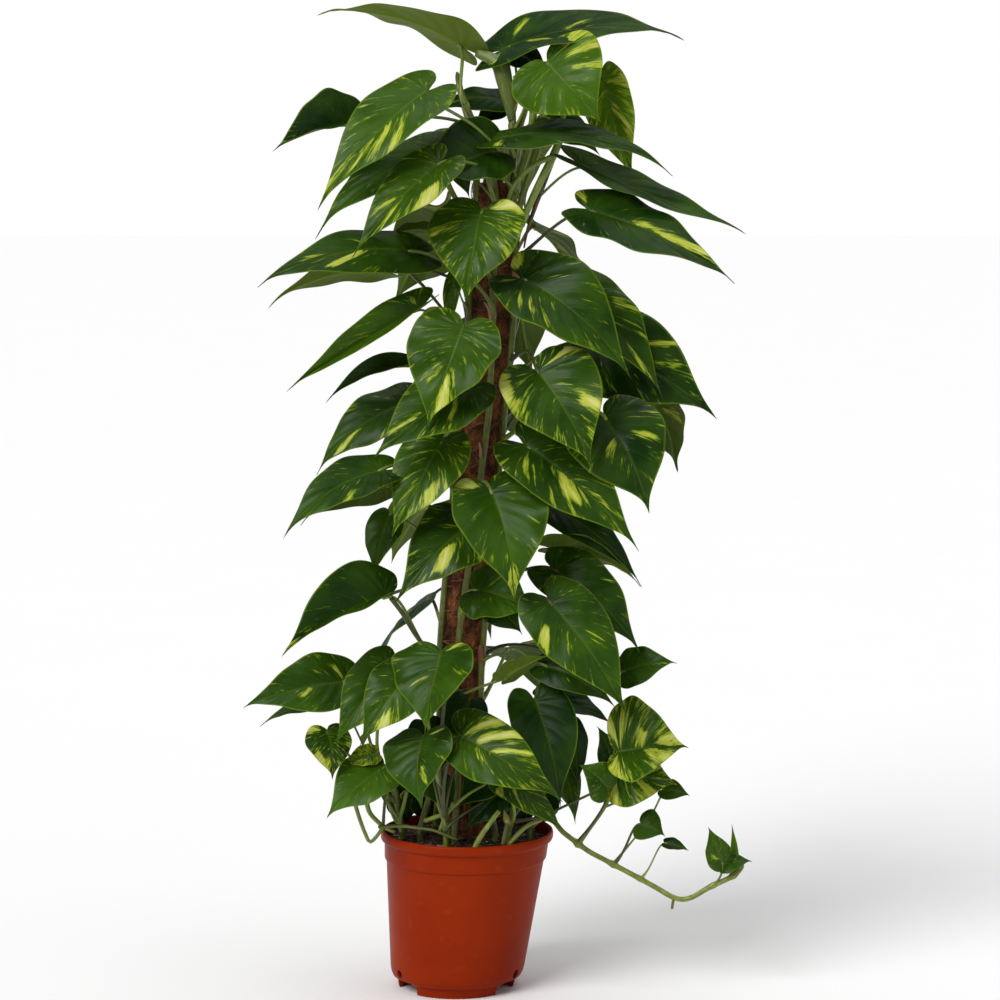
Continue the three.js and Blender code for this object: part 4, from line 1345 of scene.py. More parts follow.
@dataclass
class Blade:
    """One blade set in place: its axes and sizes, and the draws that bend it."""

    leaf: Leaf
    base: np.ndarray
    tip: np.ndarray
    towards: np.ndarray
    seed: float
    thick: float = 0.6

    def __post_init__(self) -> None:
        """Works out the axes and draws, as the part's source does."""
        leaf, seed = self.leaf, self.seed
        along = self.tip - self.base
        self.length = float(np.linalg.norm(along))
        self.along = along / self.length
        facing = unit(self.towards - self.along * float(self.towards @ self.along))
        upward = np.cross(self.along, facing)
        upward = -upward if upward[2] < 0 else upward
        angle = math.radians(leaf.lift)
        self.normal = facing * math.cos(angle) + upward * math.sin(angle)
        self.side = np.cross(self.along, self.normal)
        self.arch = leaf.arch if leaf.arch is not None else 0.06 + 0.07 * draw(seed + 0.1)
        self.sweep = 0.05 * (draw(seed + 0.2) - 0.5)
        self.keel = leaf.keel if leaf.keel is not None else 0.16 + 0.2 * draw(seed + 0.3)
        self.cup = 0.1 + 0.22 * draw(seed + 0.4)
        self.twist = leaf.twist + 0.5 * (draw(seed + 0.5) - 0.5)
        self.wave = leaf.wave * (0.02 + 0.03 * draw(seed + 0.6))
        self.waves = 1.5 + 1.2 * draw(seed + 0.7)
        self.phase = 6.3 * draw(seed + 0.8)
        self.stalk_radius = min(2.0, 0.8 + leaf.wide * 0.02)

    def spread(self, s: np.ndarray, w: np.ndarray, lift: np.ndarray | float = 0.0) -> np.ndarray:
        """Points of the blade's middle surface.

        Args:
            s: Places along the blade, 0 at the notch and 1 at the tip.
            w: Places across it, as shares of its width.
            lift: Further height over the surface.

        Returns:
            The points.
        """
        wide = self.leaf.wide
        bow = 4 * s * (1 - s)
        ripple = self.wave * wide * 4 * w * w * np.sin(
            2 * math.pi * self.waves * s + self.phase + np.where(w > 0, 0.0, 1.3))
        height = wide * (self.keel * np.abs(w) - 2 * self.cup * w * w) + ripple + lift
        turn = self.twist * s
        aside = w * wide * np.cos(turn) - height * np.sin(turn) + self.sweep * self.length * bow
        raised = w * wide * np.sin(turn) + height * np.cos(turn) + self.arch * self.length * bow
        points = (self.base + s[:, None] * self.length * self.along + aside[:, None] * self.side
                  + raised[:, None] * self.normal)
        points[:, 2] -= 1.1 * self.length * np.maximum(s - 0.9, 0) ** 2
        return points

    def fine_form(self, heart: Heart) -> np.ndarray:
        """The quilting between veins, the edge's small waves and slow dents.

        Args:
            heart: The shared grid.

        Returns:
            Their height at each point.
        """
        wide, seed = self.leaf.wide, self.seed
        size = np.abs(heart.t)
        quilt = 0.006 * wide * np.cos(2 * math.pi * 9 * heart.v) * 4 * size * (1 - size)
        waves, start = 3.2 + 2 * draw(seed + 0.91), 6.3 * draw(seed + 0.92)
        frill = 0.012 * wide * size ** 3 * np.sin(2 * math.pi * waves * heart.v + start + np.sign(heart.t))
        dents = 0.012 * wide * np.sin(6.3 * (1.4 * heart.s + draw(seed + 0.93))) * np.sin(
            6.3 * (1.1 * heart.w + draw(seed + 0.94)))
        return quilt + frill + dents

    def golden(self, heart: Heart) -> np.ndarray:
        """The gold of the blade's flecks and patches.

        Args:
            heart: The shared grid.

        Returns:
            How golden each point is.
        """
        size = np.abs(heart.t)
        gold = np.full(len(size), self.leaf.fleck) * (0.7 + 0.6 * size)
        for place, spread, start, end, strength in self.leaf.gold:
            low, high = abs(start), abs(end)
            inside = np.clip((size - low + 0.1) / 0.12, 0, 1) * np.clip((high + 0.12 - size) / 0.14, 0, 1)
            half = (heart.t * (1 if end > 0 else -1)) > 0
            gold += strength * 0.62 * half * inside * np.exp(-(((heart.v - place) / spread) ** 2))
        return gold

    def shape(self, heart: Heart, stock: Stock) -> None:
        """Adds the blade to its piece as a thin closed body.

        Args:
            heart: The shared grid.
            stock: The piece.
        """
        middle = self.spread(heart.s, heart.w, self.fine_form(heart))
        normals = heart.normals(middle)
        off_rib = np.abs(heart.w) * self.leaf.wide
        body = np.clip(1 - heart.s, 0, 1)
        rib = np.exp(-((off_rib / (0.5 + 1.1 * body)) ** 2)) * np.clip((1.02 - heart.s) * 4, 0, 1)
        half = 0.5 * self.thick * (1 - 0.55 * np.abs(heart.t) ** 6)
        top = middle + normals * (half - 0.35 * rib)[:, None]
        low = middle - normals * (half + rib * (0.35 + 0.9 * body))[:, None]
        count = len(middle)
        near, after = heart.rim, np.roll(heart.rim, -1)
        walls = np.stack([near + count, after + count, after, near], axis=-1)
        faces = [heart.quads, heart.threes,
                 heart.quads[:, ::-1] + count, heart.threes[:, ::-1] + count, walls]
        at = np.stack([heart.v, heart.t, np.full(count, self.seed * 0.37)], axis=1)
        look = np.stack([self.golden(heart), np.full(count, self.leaf.tone), np.zeros(count)], axis=1)
        stock.add(np.vstack([top, low]), faces, blade_at=np.vstack([at, at]),
                  blade_look=np.vstack([look, look + (0, 0, 1)]), blade_rib=np.concatenate([rib, rib]))


# Sides of a tube, how far its ridges stand out and how many it has
STALK_FORM, STUB_FORM, STEM_FORM, ROOT_FORM = (8, 0.07, 2), (12, 0.08, 3), (12, 0.04, 4), (5, 0.0, 3)


def add_tube(stock: Stock, path: np.ndarray, radii: np.ndarray, far: np.ndarray,
             form: tuple[int, float, int], skin: tuple[float, float, float]) -> None:
    """Adds a tube with the marks that its finish reads.

    Args:
        stock: The piece.
        path: The tube's line.
        radii: Its radius at each point.
        far: How far along it each point is taken to lie.
        form: Its sides and ridges.
        skin: Its seed, its tone and how woody it is.
    """
    points, faces, angle = tubes(path[None], radii[None], *form)
    seed, tone, woody = skin
    at = np.stack([angle, np.repeat(far, form[0]), np.full(len(angle), seed)], axis=1)
    stock.add(points, faces, skin_at=at, skin_look=one_look(np.full(len(angle), tone), woody))


@dataclass
class Vine:
    """A stem with its leaf stalks and blades."""

    name: str
    stem: Stem
    leaves: tuple[Leaf, ...] = ()
    fan: Fan | None = None
    stubs: tuple[Stub, ...] = ()
    step: float = 2.5
    small: float = 40.0

    def line(self) -> np.ndarray:
        """The stem's line: up out of the soil, up beside the pole, then its free end.

        Returns:
            Its points, a step apart.
        """
        x, y = self.stem.stand
        points = [np.array([x, y, z], float) for z in STEM_FOOT]
        points += self.climb(COIR_RADIUS + self.stem.radius + GAP)
        points += [sight(place) for place in self.stem.end]
        fine = smooth_line(points)
        return even_line(fine, int(np.sum(np.linalg.norm(np.diff(fine, axis=0), axis=1)) / self.step))

    def climb(self, radius: float) -> list[np.ndarray]:
        """The climb, which nears the pole from outside.

        Args:
            radius: How far the stem's middle lies from the pole's axis.

        Returns:
            Points up the climb.
        """
        points = []
        climb = self.stem.climb
        for (level, turn), (next_level, next_turn) in zip(climb, climb[1:] + climb[-1:]):
            count = max(1, round((next_level - level) / CLIMB_STEP))
            for share in np.arange(count) / count:
                at = level + (next_level - level) * share
                away = max(0.0, 1 - (at - climb[0][0]) / APPROACH_RISE)
                points.append(beside_pole(
                    at, turn + (next_turn - turn) * share, radius + APPROACH * away * away))
        return points

    def start_index(self, line: np.ndarray, level: float) -> int:
        """Where on the stem a stalk starts.

        Args:
            line: The stem's line.
            level: A height, or on the runner a distance to the right.

        Returns:
            The number of the line's point.
        """
        axis = 0 if self.stem.growth is Growth.RUNNER else 2
        beyond = np.nonzero(line[:, axis] >= level)[0]
        return int(beyond[0]) if len(beyond) else len(line) - 1

    def blades(self) -> list[tuple[float, Blade]]:
        """All blades.

        Returns:
            Each with the level that its stalk starts from.
        """
        grown = []
        for i, leaf in enumerate(self.leaves):
            base = sight(leaf.base)
            blade = Blade(leaf, base, sight(leaf.tip), unit(EYE - base), len(self.name) + 7 * i)
            grown.append((leaf.start, blade))
        return grown + self.fan_blades()

    def fan_blades(self) -> list[tuple[float, Blade]]:
        """The blades on the unseen side, by the same rule as in the part's source.

        Returns:
            Each with the level that its stalk starts from.
        """
        if self.fan is None:
            return []
        fan, grown = self.fan, []
        for i in range(fan.count):
            seed = 100 + len(self.name) * 3 + 11 * i
            start = fan.low + (fan.high - fan.low) * i / (fan.count - 1)
            turn = fan.turns[0] + (fan.turns[1] - fan.turns[0]) * ((i * 0.62 + 0.2 * draw(seed)) % 1)
            near = 66 + 26 * draw(seed + 0.15)
            far = near + fan.long * (0.62 + 0.16 * draw(seed + 0.25))
            top = start + 34 + 16 * draw(seed + 0.35)
            fall = fan.long * (0.5 + 0.25 * draw(seed + 0.45))
            base = beside_pole(top, turn, near)
            tip = beside_pole(top - fall, turn + 16 * draw(seed + 0.55) - 8, far)
            towards = beside_pole(0, turn, 1) - pole_axis(0)
            towards[2] = 0.3
            leaf = Leaf(start, tuple(base), tuple(tip), fan.wide * (0.82 + 0.3 * draw(seed + 0.65)),
                        22 + 26 * draw(seed + 0.75), 0.1 + 0.4 * draw(seed + 0.81),
                        0.1 + 0.2 * draw(seed + 0.82), self.fan_gold(seed))
            grown.append((start, Blade(leaf, base, tip, unit(towards), seed)))
        return grown

    def fan_gold(self, seed: float) -> tuple[Patch, ...]:
        """Drawn patches of gold for a leaf on the unseen side.

        Args:
            seed: The leaf's seed.

        Returns:
            One to three patches.
        """
        patches = []
        for k in range(1 + int(3 * draw(seed + 0.95))):
            half = 1 if draw(seed + 0.96 + k) > 0.5 else -1
            low = 0.1 + 0.4 * draw(seed + 0.97 + k)
            high = low + 0.3 + 0.4 * draw(seed + 0.98 + k)
            patches.append((0.2 + 0.65 * draw(seed + 0.99 + k), 0.02 + 0.03 * draw(seed + 1.01 + k),
                            half * low, half * high, 0.8 + 0.7 * draw(seed + 1.02 + k)))
        return tuple(patches)

    def stalk_line(self, start: np.ndarray, blade: Blade) -> np.ndarray:
        """The line of a leaf stalk from the stem into the blade along its midrib.

        Args:
            start: Where it leaves the stem.
            blade: Its blade.

        Returns:
            Its points.
        """
        root = blade.spread(np.array([PETIOLE_ROOT]), np.array([0.0]))[0]
        root = root - blade.normal * 0.55 * blade.stalk_radius
        if blade.leaf.via:
            return even_line(smooth_line([start, *map(sight, blade.leaf.via), root]), 24)
        reach = root - start
        span = float(np.linalg.norm(reach))
        back = max(0.0, 0.3 - float(reach @ blade.along) / span)
        inward = unit(blade.along + blade.normal * 1.2 * back)
        out = start - pole_axis(start[2])
        out[2] = 0.0
        out = unit(out) * 0.3
        out[2] = 0.24
        return arch_line(start, start + out * span, root - inward * 0.24 * span, root, 20)

    def dress(self, heart: Heart, small: Heart, leaf_skin: bpy.types.Material,
              stalk_skin: bpy.types.Material) -> None:
        """Builds the vine's blades, and its stem with the stalks.

        Args:
            heart: The grid of large blades.
            small: The grid of small ones.
            leaf_skin: The blades' material.
            stalk_skin: The stem's material.
        """
        line = self.line()
        foliage, wood = Stock(), Stock()
        starts = []
        for level, blade in self.blades():
            blade.shape(small if blade.leaf.wide < self.small else heart, foliage)
            at = self.start_index(line, level)
            starts.append(at)
            self.add_stalk(wood, self.stalk_line(line[at], blade), blade)
        self.add_stem(wood, line, starts)
        for k, stub in enumerate(self.stubs):
            self.add_stub(wood, stub, k)
        seat(foliage.build(f"{self.name}_blades", leaf_skin), "foliage", self.name)
        seat(wood.build(f"{self.name}_stalks", stalk_skin), "foliage", self.name)

    def add_stalk(self, wood: Stock, path: np.ndarray, blade: Blade) -> None:
        """Adds a stalk, wide in its sheath and a little swollen at the blade.

        Args:
            wood: The piece.
            path: The stalk's line.
            blade: Its blade.
        """
        share = np.linspace(0, 1, len(path))
        sheath, knee = np.exp(-((share / 0.16) ** 2)), np.exp(-(((share - 0.93) / 0.05) ** 2))
        radii = blade.stalk_radius * (0.86 + 0.75 * sheath + 0.22 * knee)
        # The stalk takes a quarter of its leaf's tone, so stalks of leaves set dark as painted shade come out
        # a little darker too.
        tone = np.clip(0.35 + 0.75 * draw(blade.seed + 0.71) + 0.25 * blade.leaf.tone, 0, 1)
        tone = 0.12 if draw(blade.seed + 0.72) > 0.78 else tone
        far = share * float(np.linalg.norm(path[-1] - path[0]))
        add_tube(wood, path, radii, far, STALK_FORM, (blade.seed, tone, 0.15))

    def add_stub(self, wood: Stock, stub: Stub, seed: float) -> None:
        """Adds a bare stalk.

        Args:
            wood: The piece.
            stub: The stalk.
            seed: Its seed.
        """
        path = even_line(smooth_line([sight(place) for place in stub.line]), 24)
        share = np.linspace(0, 1, len(path))
        radii = stub.radius * (1 + stub.swell * np.sin(math.pi * share) + (stub.narrow - 1) * share)
        far = share * float(np.linalg.norm(path[-1] - path[0]))
        add_tube(wood, path, radii, far, STUB_FORM, (seed, stub.tone, stub.woody))

    def add_stem(self, wood: Stock, line: np.ndarray, starts: list[int]) -> None:
        """Adds the stem, swollen where stalks leave it.

        Args:
            wood: The piece.
            line: The stem's line.
            starts: The numbers of the points where stalks leave it.
        """
        steps = np.arange(len(line))
        radii = np.full(len(line), self.stem.radius * 0.94)
        for at in starts:
            radii += self.stem.radius * 0.24 * np.exp(-(((steps - at) / 1.3) ** 2))
        radii[-3:] *= (0.9, 0.7, 0.35)
        tone = 0.55 if self.stem.growth is Growth.CLIMBING else 0.8
        add_tube(wood, line, radii, steps * self.step, STEM_FORM, (len(self.name), tone, 0.5))


@dataclass
class AerialRoots:
    """Thin brown roots that hold the climbing stems to the coir, and dry sheaths beside them."""

    spacing: float = 34.0
    reach: float = 17.0
    low: float = 230.0
    high: float = 770.0
    sheaths: float = 0.38
    sheath_rows: int = 9
    sheath_cols: int = 5
    sheath_thick: float = 0.35
    vines: tuple[Vine, ...] = ()

    def dress(self, finish: bpy.types.Material) -> None:
        """Builds all roots as one piece and all sheaths as another.

        Args:
            finish: Their material.
        """
        roots, husks = Stock(), Stock()
        for vine in self.vines:
            line = vine.line()
            for k, level in enumerate(np.arange(self.low, self.high, self.spacing)):
                seed = len(vine.name) * 1.7 + k
                at = line[vine.start_index(line, level + 20 * draw(seed))]
                for n in range(3):
                    self.add_root(roots, at, seed + 0.17 * n)
                if draw(seed + 0.4) > 1 - self.sheaths:
                    self.add_husk(husks, line, vine.start_index(line, level), vine.stem.radius, seed)
        seat(roots.build("aerial_roots", finish), "foliage", "vine_front")
        seat(husks.build("dry_sheaths", finish), "foliage", "vine_front")

    def add_root(self, stock: Stock, at: np.ndarray, seed: float) -> None:
        """Adds a root that leaves the stem sideways and creeps over the coir.

        Args:
            stock: The piece.
            at: Where it leaves the stem's middle.
            seed: Its seed.
        """
        out = unit(at - pole_axis(at[2]))
        way = 1 if draw(seed + 0.5) > 0.5 else -1
        share = np.linspace(0, 1, 8)
        reach = self.reach * (0.5 + draw(seed + 0.6))
        turn = math.atan2(out[1], out[0]) + way * (0.12 + share * reach / COIR_RADIUS)
        level = at[2] + (draw(seed + 0.7) - 0.6) * reach * share
        radius = COIR_RADIUS + 2.4 - 2.2 * share + 0.5 * np.sin(share * 9 + seed)
        path = pole_axis(level) + radius[:, None] * level_ring(turn)
        path[0] = at - out
        radii = (0.75 - 0.45 * share) * (0.7 + 0.5 * draw(seed + 0.8))
        add_tube(stock, path, radii, share * reach, ROOT_FORM, (seed, 0.1 + 0.4 * draw(seed), 0.0))

    def add_husk(self, stock: Stock, line: np.ndarray, at: int, radius: float, seed: float) -> None:
        """Adds a dry sheath: a narrow curled strip that clasps the stem and stands off at its end.

        Args:
            stock: The piece.
            line: The stem's line.
            at: The number of the point where it starts.
            radius: The stem's radius.
            seed: Its seed.
        """
        rows, cols = self.sheath_rows, self.sheath_cols
        span = 5 + int(4 * draw(seed + 0.3))
        run = line[np.clip(np.linspace(at, at + span, rows).astype(int), 0, len(line) - 1)].copy()
        run[:, 2] = np.linspace(run[0, 2], run[-1, 2] + 3, rows)
        out = unit(line[at] - pole_axis(line[at][2]))
        aside = np.cross([0, 0, 1], out)
        share = np.linspace(0, 1, rows)
        middle = math.radians(70) * (1 if draw(seed + 0.9) > 0.5 else -1)
        arc = np.linspace(-1, 1, cols)[None, :] * (1.0 - 0.85 * share[:, None] ** 2) + middle
        away = radius * 1.15 + 0.3 + 4.5 * (0.3 + draw(seed + 0.2)) * share[:, None] ** 2 + 0 * arc
        round_stem = np.cos(arc)[..., None] * out + np.sin(arc)[..., None] * aside
        sheet = run[:, None, :] + away[..., None] * round_stem
        inner = sheet - self.sheath_thick * round_stem
        grid = np.arange(rows * cols).reshape(rows, cols)
        quads = grid_quads(grid)
        rim = np.concatenate([grid[0], grid[1:, -1], grid[-1, -2::-1], grid[-2:0:-1, 0]])
        count = rows * cols
        walls = np.stack([rim + count, np.roll(rim, -1) + count, np.roll(rim, -1), rim], axis=-1)
        mark = np.stack([np.tile(arc[0], rows), np.repeat(share * 20, cols), np.full(count, seed)], axis=1)
        stock.add(np.vstack([sheet.reshape(-1, 3), inner.reshape(-1, 3)]),
                  [quads, quads[:, ::-1] + count, walls], skin_at=np.vstack([mark, mark]),
                  skin_look=one_look(np.full(2 * count, 0.25 + 0.6 * draw(seed + 0.1))))


@dataclass
class CoirPole:
    """The pole: a matted wrap of coir under loose fibres and a net, on its black core tube."""

    rows: int = 300
    sides: int = 84
    fibres: int = 3400
    fibre_points: int = 6
    bare_foot: float = 96.0
    threads: int = 9
    thread_points: int = 190
    thread_radius: float = 0.22
    net_foot: float = 100.0
    net_pitch: float = 62.0
    core_bore: float = 7.5
    core_rows: int = 60
    core_sides: int = 40

    def dress(self, effects: Effects) -> None:
        """Builds the wrap, its fibres, its net and the core tube.

        Args:
            effects: The shared groups.
        """
        coir = CoirFinish()
        black = BlackFinish().make(effects)
        seat(self.wrap().build("coir_wrap", coir.make(effects, "coir_mat")), "coir", "pole_coir")
        seat(self.loose().build("coir_fibres", coir.make(effects, "coir_strands")), "coir", "pole_coir")
        seat(self.net().build("coir_net", black), "coir", "pole_coir")
        seat(self.core().build("core_tube", black), "core_plastic", "pole_core")

    def lumps(self, level: float, turn: float) -> float:
        """How far the matted surface stands out.

        Args:
            level: The height.
            turn: The turn round the pole.

        Returns:
            Millimetres.
        """
        total = 0.0
        for high, around, along in ((1.5, 3.1, 0.055), (1.0, 11, 0.21), (0.55, 30, 0.9)):
            total += high * noise.noise((math.cos(turn) * around, math.sin(turn) * around, level * along))
        return total

    def wrap(self) -> Stock:
        """The matted tube, with an open middle where the core stands.

        Returns:
            Its points and faces.
        """
        levels = np.linspace(POLE_FOOT, POLE_TOP, self.rows)
        turns = 2 * math.pi * np.arange(self.sides) / self.sides
        out = np.array([[self.lumps(level, turn) for turn in turns] for level in levels])
        radius = COIR_RADIUS - 0.9 + out
        ring = level_ring(turns)
        outer = (pole_axis(levels)[:, None, :] + radius[..., None] * ring).reshape(-1, 3)
        bore = CORE_RADIUS + 2 * GAP
        ends = np.vstack([pole_axis(level) + bore * ring for level in (levels[0], levels[-1])])
        grid = np.arange(self.rows * self.sides).reshape(self.rows, self.sides)
        turned = np.roll(grid, -1, axis=1)
        low = grid.size + np.arange(self.sides)
        high = low + self.sides
        foot = np.stack([grid[0], low, np.roll(low, -1), turned[0]], axis=-1)
        head = np.stack([grid[-1], turned[-1], np.roll(high, -1), high], axis=-1)
        inside = np.stack([low, high, np.roll(high, -1), np.roll(low, -1)], axis=-1)
        # Painted shade: the coir is coloured darker in the hollows between its lumps and lighter on them, and
        # darkest inside its bore and on its end faces.
        shade = np.concatenate([0.34 + 0.24 * out.ravel(), np.full(2 * self.sides, 0.1)])
        far = np.concatenate([np.repeat(levels, self.sides), np.repeat(levels[[0, -1]], self.sides)])
        at = np.stack([np.tile(turns, self.rows + 2) * 3, far, np.zeros(len(far))], axis=1)
        return Stock().add(np.vstack([outer, ends]), [closed_quads(grid), foot, head, inside],
                           skin_at=at, skin_look=one_look(shade))

    def loose(self) -> Stock:
        """Loose fibres that lie over the wrap, a few of them standing off it.

        Returns:
            Their points and faces.
        """
        rng = np.random.default_rng(41)
        count, fine = self.fibres, self.fibre_points
        share = np.linspace(0, 1, fine)[None, :]
        level = rng.uniform(POLE_FOOT + self.bare_foot, POLE_TOP - 2, count)[:, None]
        turn = rng.uniform(0, 2 * math.pi, count)[:, None]
        length = rng.uniform(7, 26, count)[:, None]
        slope = rng.normal(0, 0.95, count)[:, None]
        bend = rng.normal(0, 0.5, count)[:, None]
        around = turn + length / COIR_RADIUS * (np.cos(slope) * share + 0.3 * bend * share ** 2)
        height = np.clip(level + length * (np.sin(slope) * share + 0.4 * bend * share * (1 - share)),
                         POLE_FOOT, POLE_TOP + 5)
        stray = (rng.uniform(0, 1, count) > 0.9)[:, None] * rng.uniform(1.0, 4.0, count)[:, None]
        radius = COIR_RADIUS + 0.1 + rng.uniform(-0.6, 0.9, count)[:, None] + stray * share ** 2
        radius = radius + 0.35 * np.sin(7 * share + 6 * turn)
        paths = pole_axis(height) + radius[..., None] * level_ring(around)
        radii = rng.uniform(0.13, 0.32, count)[:, None] * (1 - 0.5 * np.abs(2 * share - 1) ** 3)
        points, faces, angle = tubes(paths, radii, 3)
        tone = np.repeat(rng.uniform(0.1, 1.1, count), fine * 3)
        at = np.stack([angle, np.tile(np.repeat(share.ravel() * 12, 3), count), tone * 50], axis=1)
        return Stock().add(points, faces, skin_at=at, skin_look=one_look(tone))

    def net(self) -> Stock:
        """Thin black threads wound both ways, which hold the coir on.

        Returns:
            Their points and faces.
        """
        levels = np.linspace(POLE_FOOT + self.net_foot, POLE_TOP - 1, self.thread_points)
        paths = []
        for k in range(self.threads):
            for way in (1, -1):
                turn = 2 * math.pi * (k / self.threads + way * levels / (self.net_pitch * 2.2))
                paths.append(pole_axis(levels) + (COIR_RADIUS + 0.9 + 0.25 * way) * level_ring(turn))
        whole = np.array(paths)
        points, faces, _ = tubes(whole, np.full(whole.shape[:2], self.thread_radius), 4)
        return Stock().add(points, faces)

    def core(self) -> Stock:
        """The core tube with an open, slightly rounded mouth.

        Returns:
            Its points and faces.
        """
        top = POLE_TOP + CORE_PROUD
        levels = np.linspace(POLE_FOOT, top - 0.8, self.core_rows)
        ring = level_ring(2 * math.pi * np.arange(self.core_sides) / self.core_sides)
        rows = [(level, CORE_RADIUS) for level in levels]
        rows += [(top, CORE_RADIUS - 0.5), (top, self.core_bore + 0.4)]
        rows += [(top - 0.6, self.core_bore), (top - CORE_PROUD, self.core_bore)]
        points = np.vstack([pole_axis(level) + radius * ring for level, radius in rows])
        grid = np.arange(len(points)).reshape(len(rows), self.core_sides)
        return Stock().add(points, [closed_quads(grid), grid[:1, ::-1], grid[-1:]])


@dataclass
class NurseryPot:
    """The moulded pot, pressed a little out of true, on feet with notches between them."""

    height: float = 160.0
    rim: float = 86.6
    foot: float = 58.0
    foot_wide: float = 3.5
    foot_turn: float = 1.0
    foot_shift: float = -5.0
    feet: int = 3
    skew: float = 0.073
    notch: tuple[float, float, float] = (36.0, 20.0, 12.5)
    notch_corner: float = 2.2
    drain: tuple[float, float, float] = (4.5, 12.0, 19.0)
    sides: int = 144
    smooth_under: float = 40.0

    def profile(self) -> np.ndarray:
        """Its outline: under the floor, down and up the foot, up outside, over the rim, down inside.

        Returns:
            Radius and height at each point.
        """
        inner = self.foot - self.foot_wide
        corners = [(0, 13), (inner, 10), (inner, 0), (self.foot, 0), (59.6, 8.6), (60.6, 9.4), (64.5, 12),
                   (66.6, 16.4), (67.6, 21), (73.5, 76), (79.3, 130.6), (80.6, 131.0), (81.3, 132.4),
                   (82.4, 147.4), (82.7, 149.6), (self.rim - 1, 150.4), (self.rim, 152.6),
                   (self.rim, 156.6), (self.rim - 0.8, 159.2), (84.4, self.height), (82.8, 159.2),
                   (82.2, 157), (78.2, 131), (63.6, 15.5), (0, 15)]
        return rounded(corners, 0.9)

    def lean(self, points: np.ndarray) -> np.ndarray:
        """Slides each level sideways with its height.

        Args:
            points: Points of the pot or of what it holds.

        Returns:
            The moved points.
        """
        moved = points.copy()
        moved[:, 0] += self.skew * moved[:, 2] + self.foot_shift
        return moved

    def notch_body(self) -> bmesh.types.BMesh:
        """The block that cuts the notch between two feet.

        Returns:
            The block, at the front.
        """
        wide, deep, high = self.notch
        body = bmesh.new()
        bmesh.ops.create_cube(body, size=1.0)
        bmesh.ops.scale(body, vec=(wide, deep, 2 * high), verts=body.verts)
        inward = [edge for edge in body.edges if abs(edge.verts[0].co.x - edge.verts[1].co.x) < 1e-6
                  and abs(edge.verts[0].co.z - edge.verts[1].co.z) < 1e-6]
        bmesh.ops.bevel(body, geom=inward, offset=self.notch_corner, segments=4, affect="EDGES")
        bmesh.ops.translate(body, vec=(0, -self.foot, 0), verts=body.verts)
        return body

    def drain_body(self) -> bmesh.types.BMesh:
        """The round bar that cuts the drain hole over a notch.

        Returns:
            The bar, at the front.
        """
        radius, depth, level = self.drain
        body = bmesh.new()
        bmesh.ops.create_cone(body, cap_ends=True, segments=24, radius1=radius, radius2=radius, depth=depth)
        for vertex in body.verts:
            x, y, z = vertex.co
            vertex.co = (x, z - self.foot - 8, y + level)
        return body

    def cutters(self, turn: float) -> list[bpy.types.Object]:
        """The bodies that cut one notch and its drain hole.

        Args:
            turn: Where they stand, in degrees from the front.

        Returns:
            Both bodies.
        """
        cosine, sine = math.cos(math.radians(turn)), math.sin(math.radians(turn))
        pieces = []
        for body in (self.notch_body(), self.drain_body()):
            for vertex in body.verts:
                x, y, z = vertex.co
                vertex.co = (x * cosine - y * sine, x * sine + y * cosine, z)
            mesh = bpy.data.meshes.new("cutter")
            bmesh.ops.recalc_face_normals(body, faces=body.faces)
            body.to_mesh(mesh)
            body.free()
            pieces.append(put("cutter", mesh))
        return pieces

    def dress(self, effects: Effects) -> None:
        """Builds the pot, cuts its notches and drain holes, and finishes it.

        Args:
            effects: The shared groups.
        """
        points, faces = lathe(self.profile(), self.sides)
        mesh = bpy.data.meshes.new("pot_shell")
        mesh.from_pydata(points.tolist(), [], [face for block in faces for face in block.tolist()])
        pot = put("pot_shell", mesh)
        apart = 360 / self.feet
        bodies = [body for i in range(self.feet) for body in self.cutters(self.foot_turn + apart * (i + 0.5))]
        for body in bodies:
            cut = pot.modifiers.new("cut", "BOOLEAN")
            cut.operation, cut.solver, cut.object = "DIFFERENCE", "EXACT", body
        bpy.context.view_layer.update()
        solid = bpy.data.meshes.new_from_object(pot.evaluated_get(bpy.context.evaluated_depsgraph_get()))
        pot.modifiers.clear()
        pot.data = solid
        for body in bodies:
            bpy.data.objects.remove(body)
        whole = np.array([vertex.co for vertex in solid.vertices], float)
        moved = (self.lean(whole) + POT_PLACE) * MM
        solid.vertices.foreach_set("co", moved.astype(np.float32).ravel())
        solid.name = "pot_shell"
        solid.materials.clear()
        solid.materials.append(PotFinish().make(effects))
        solid.shade_smooth()
        solid.set_sharp_from_angle(angle=math.radians(self.smooth_under))
        seat(pot, "pot_plastic", "pot")


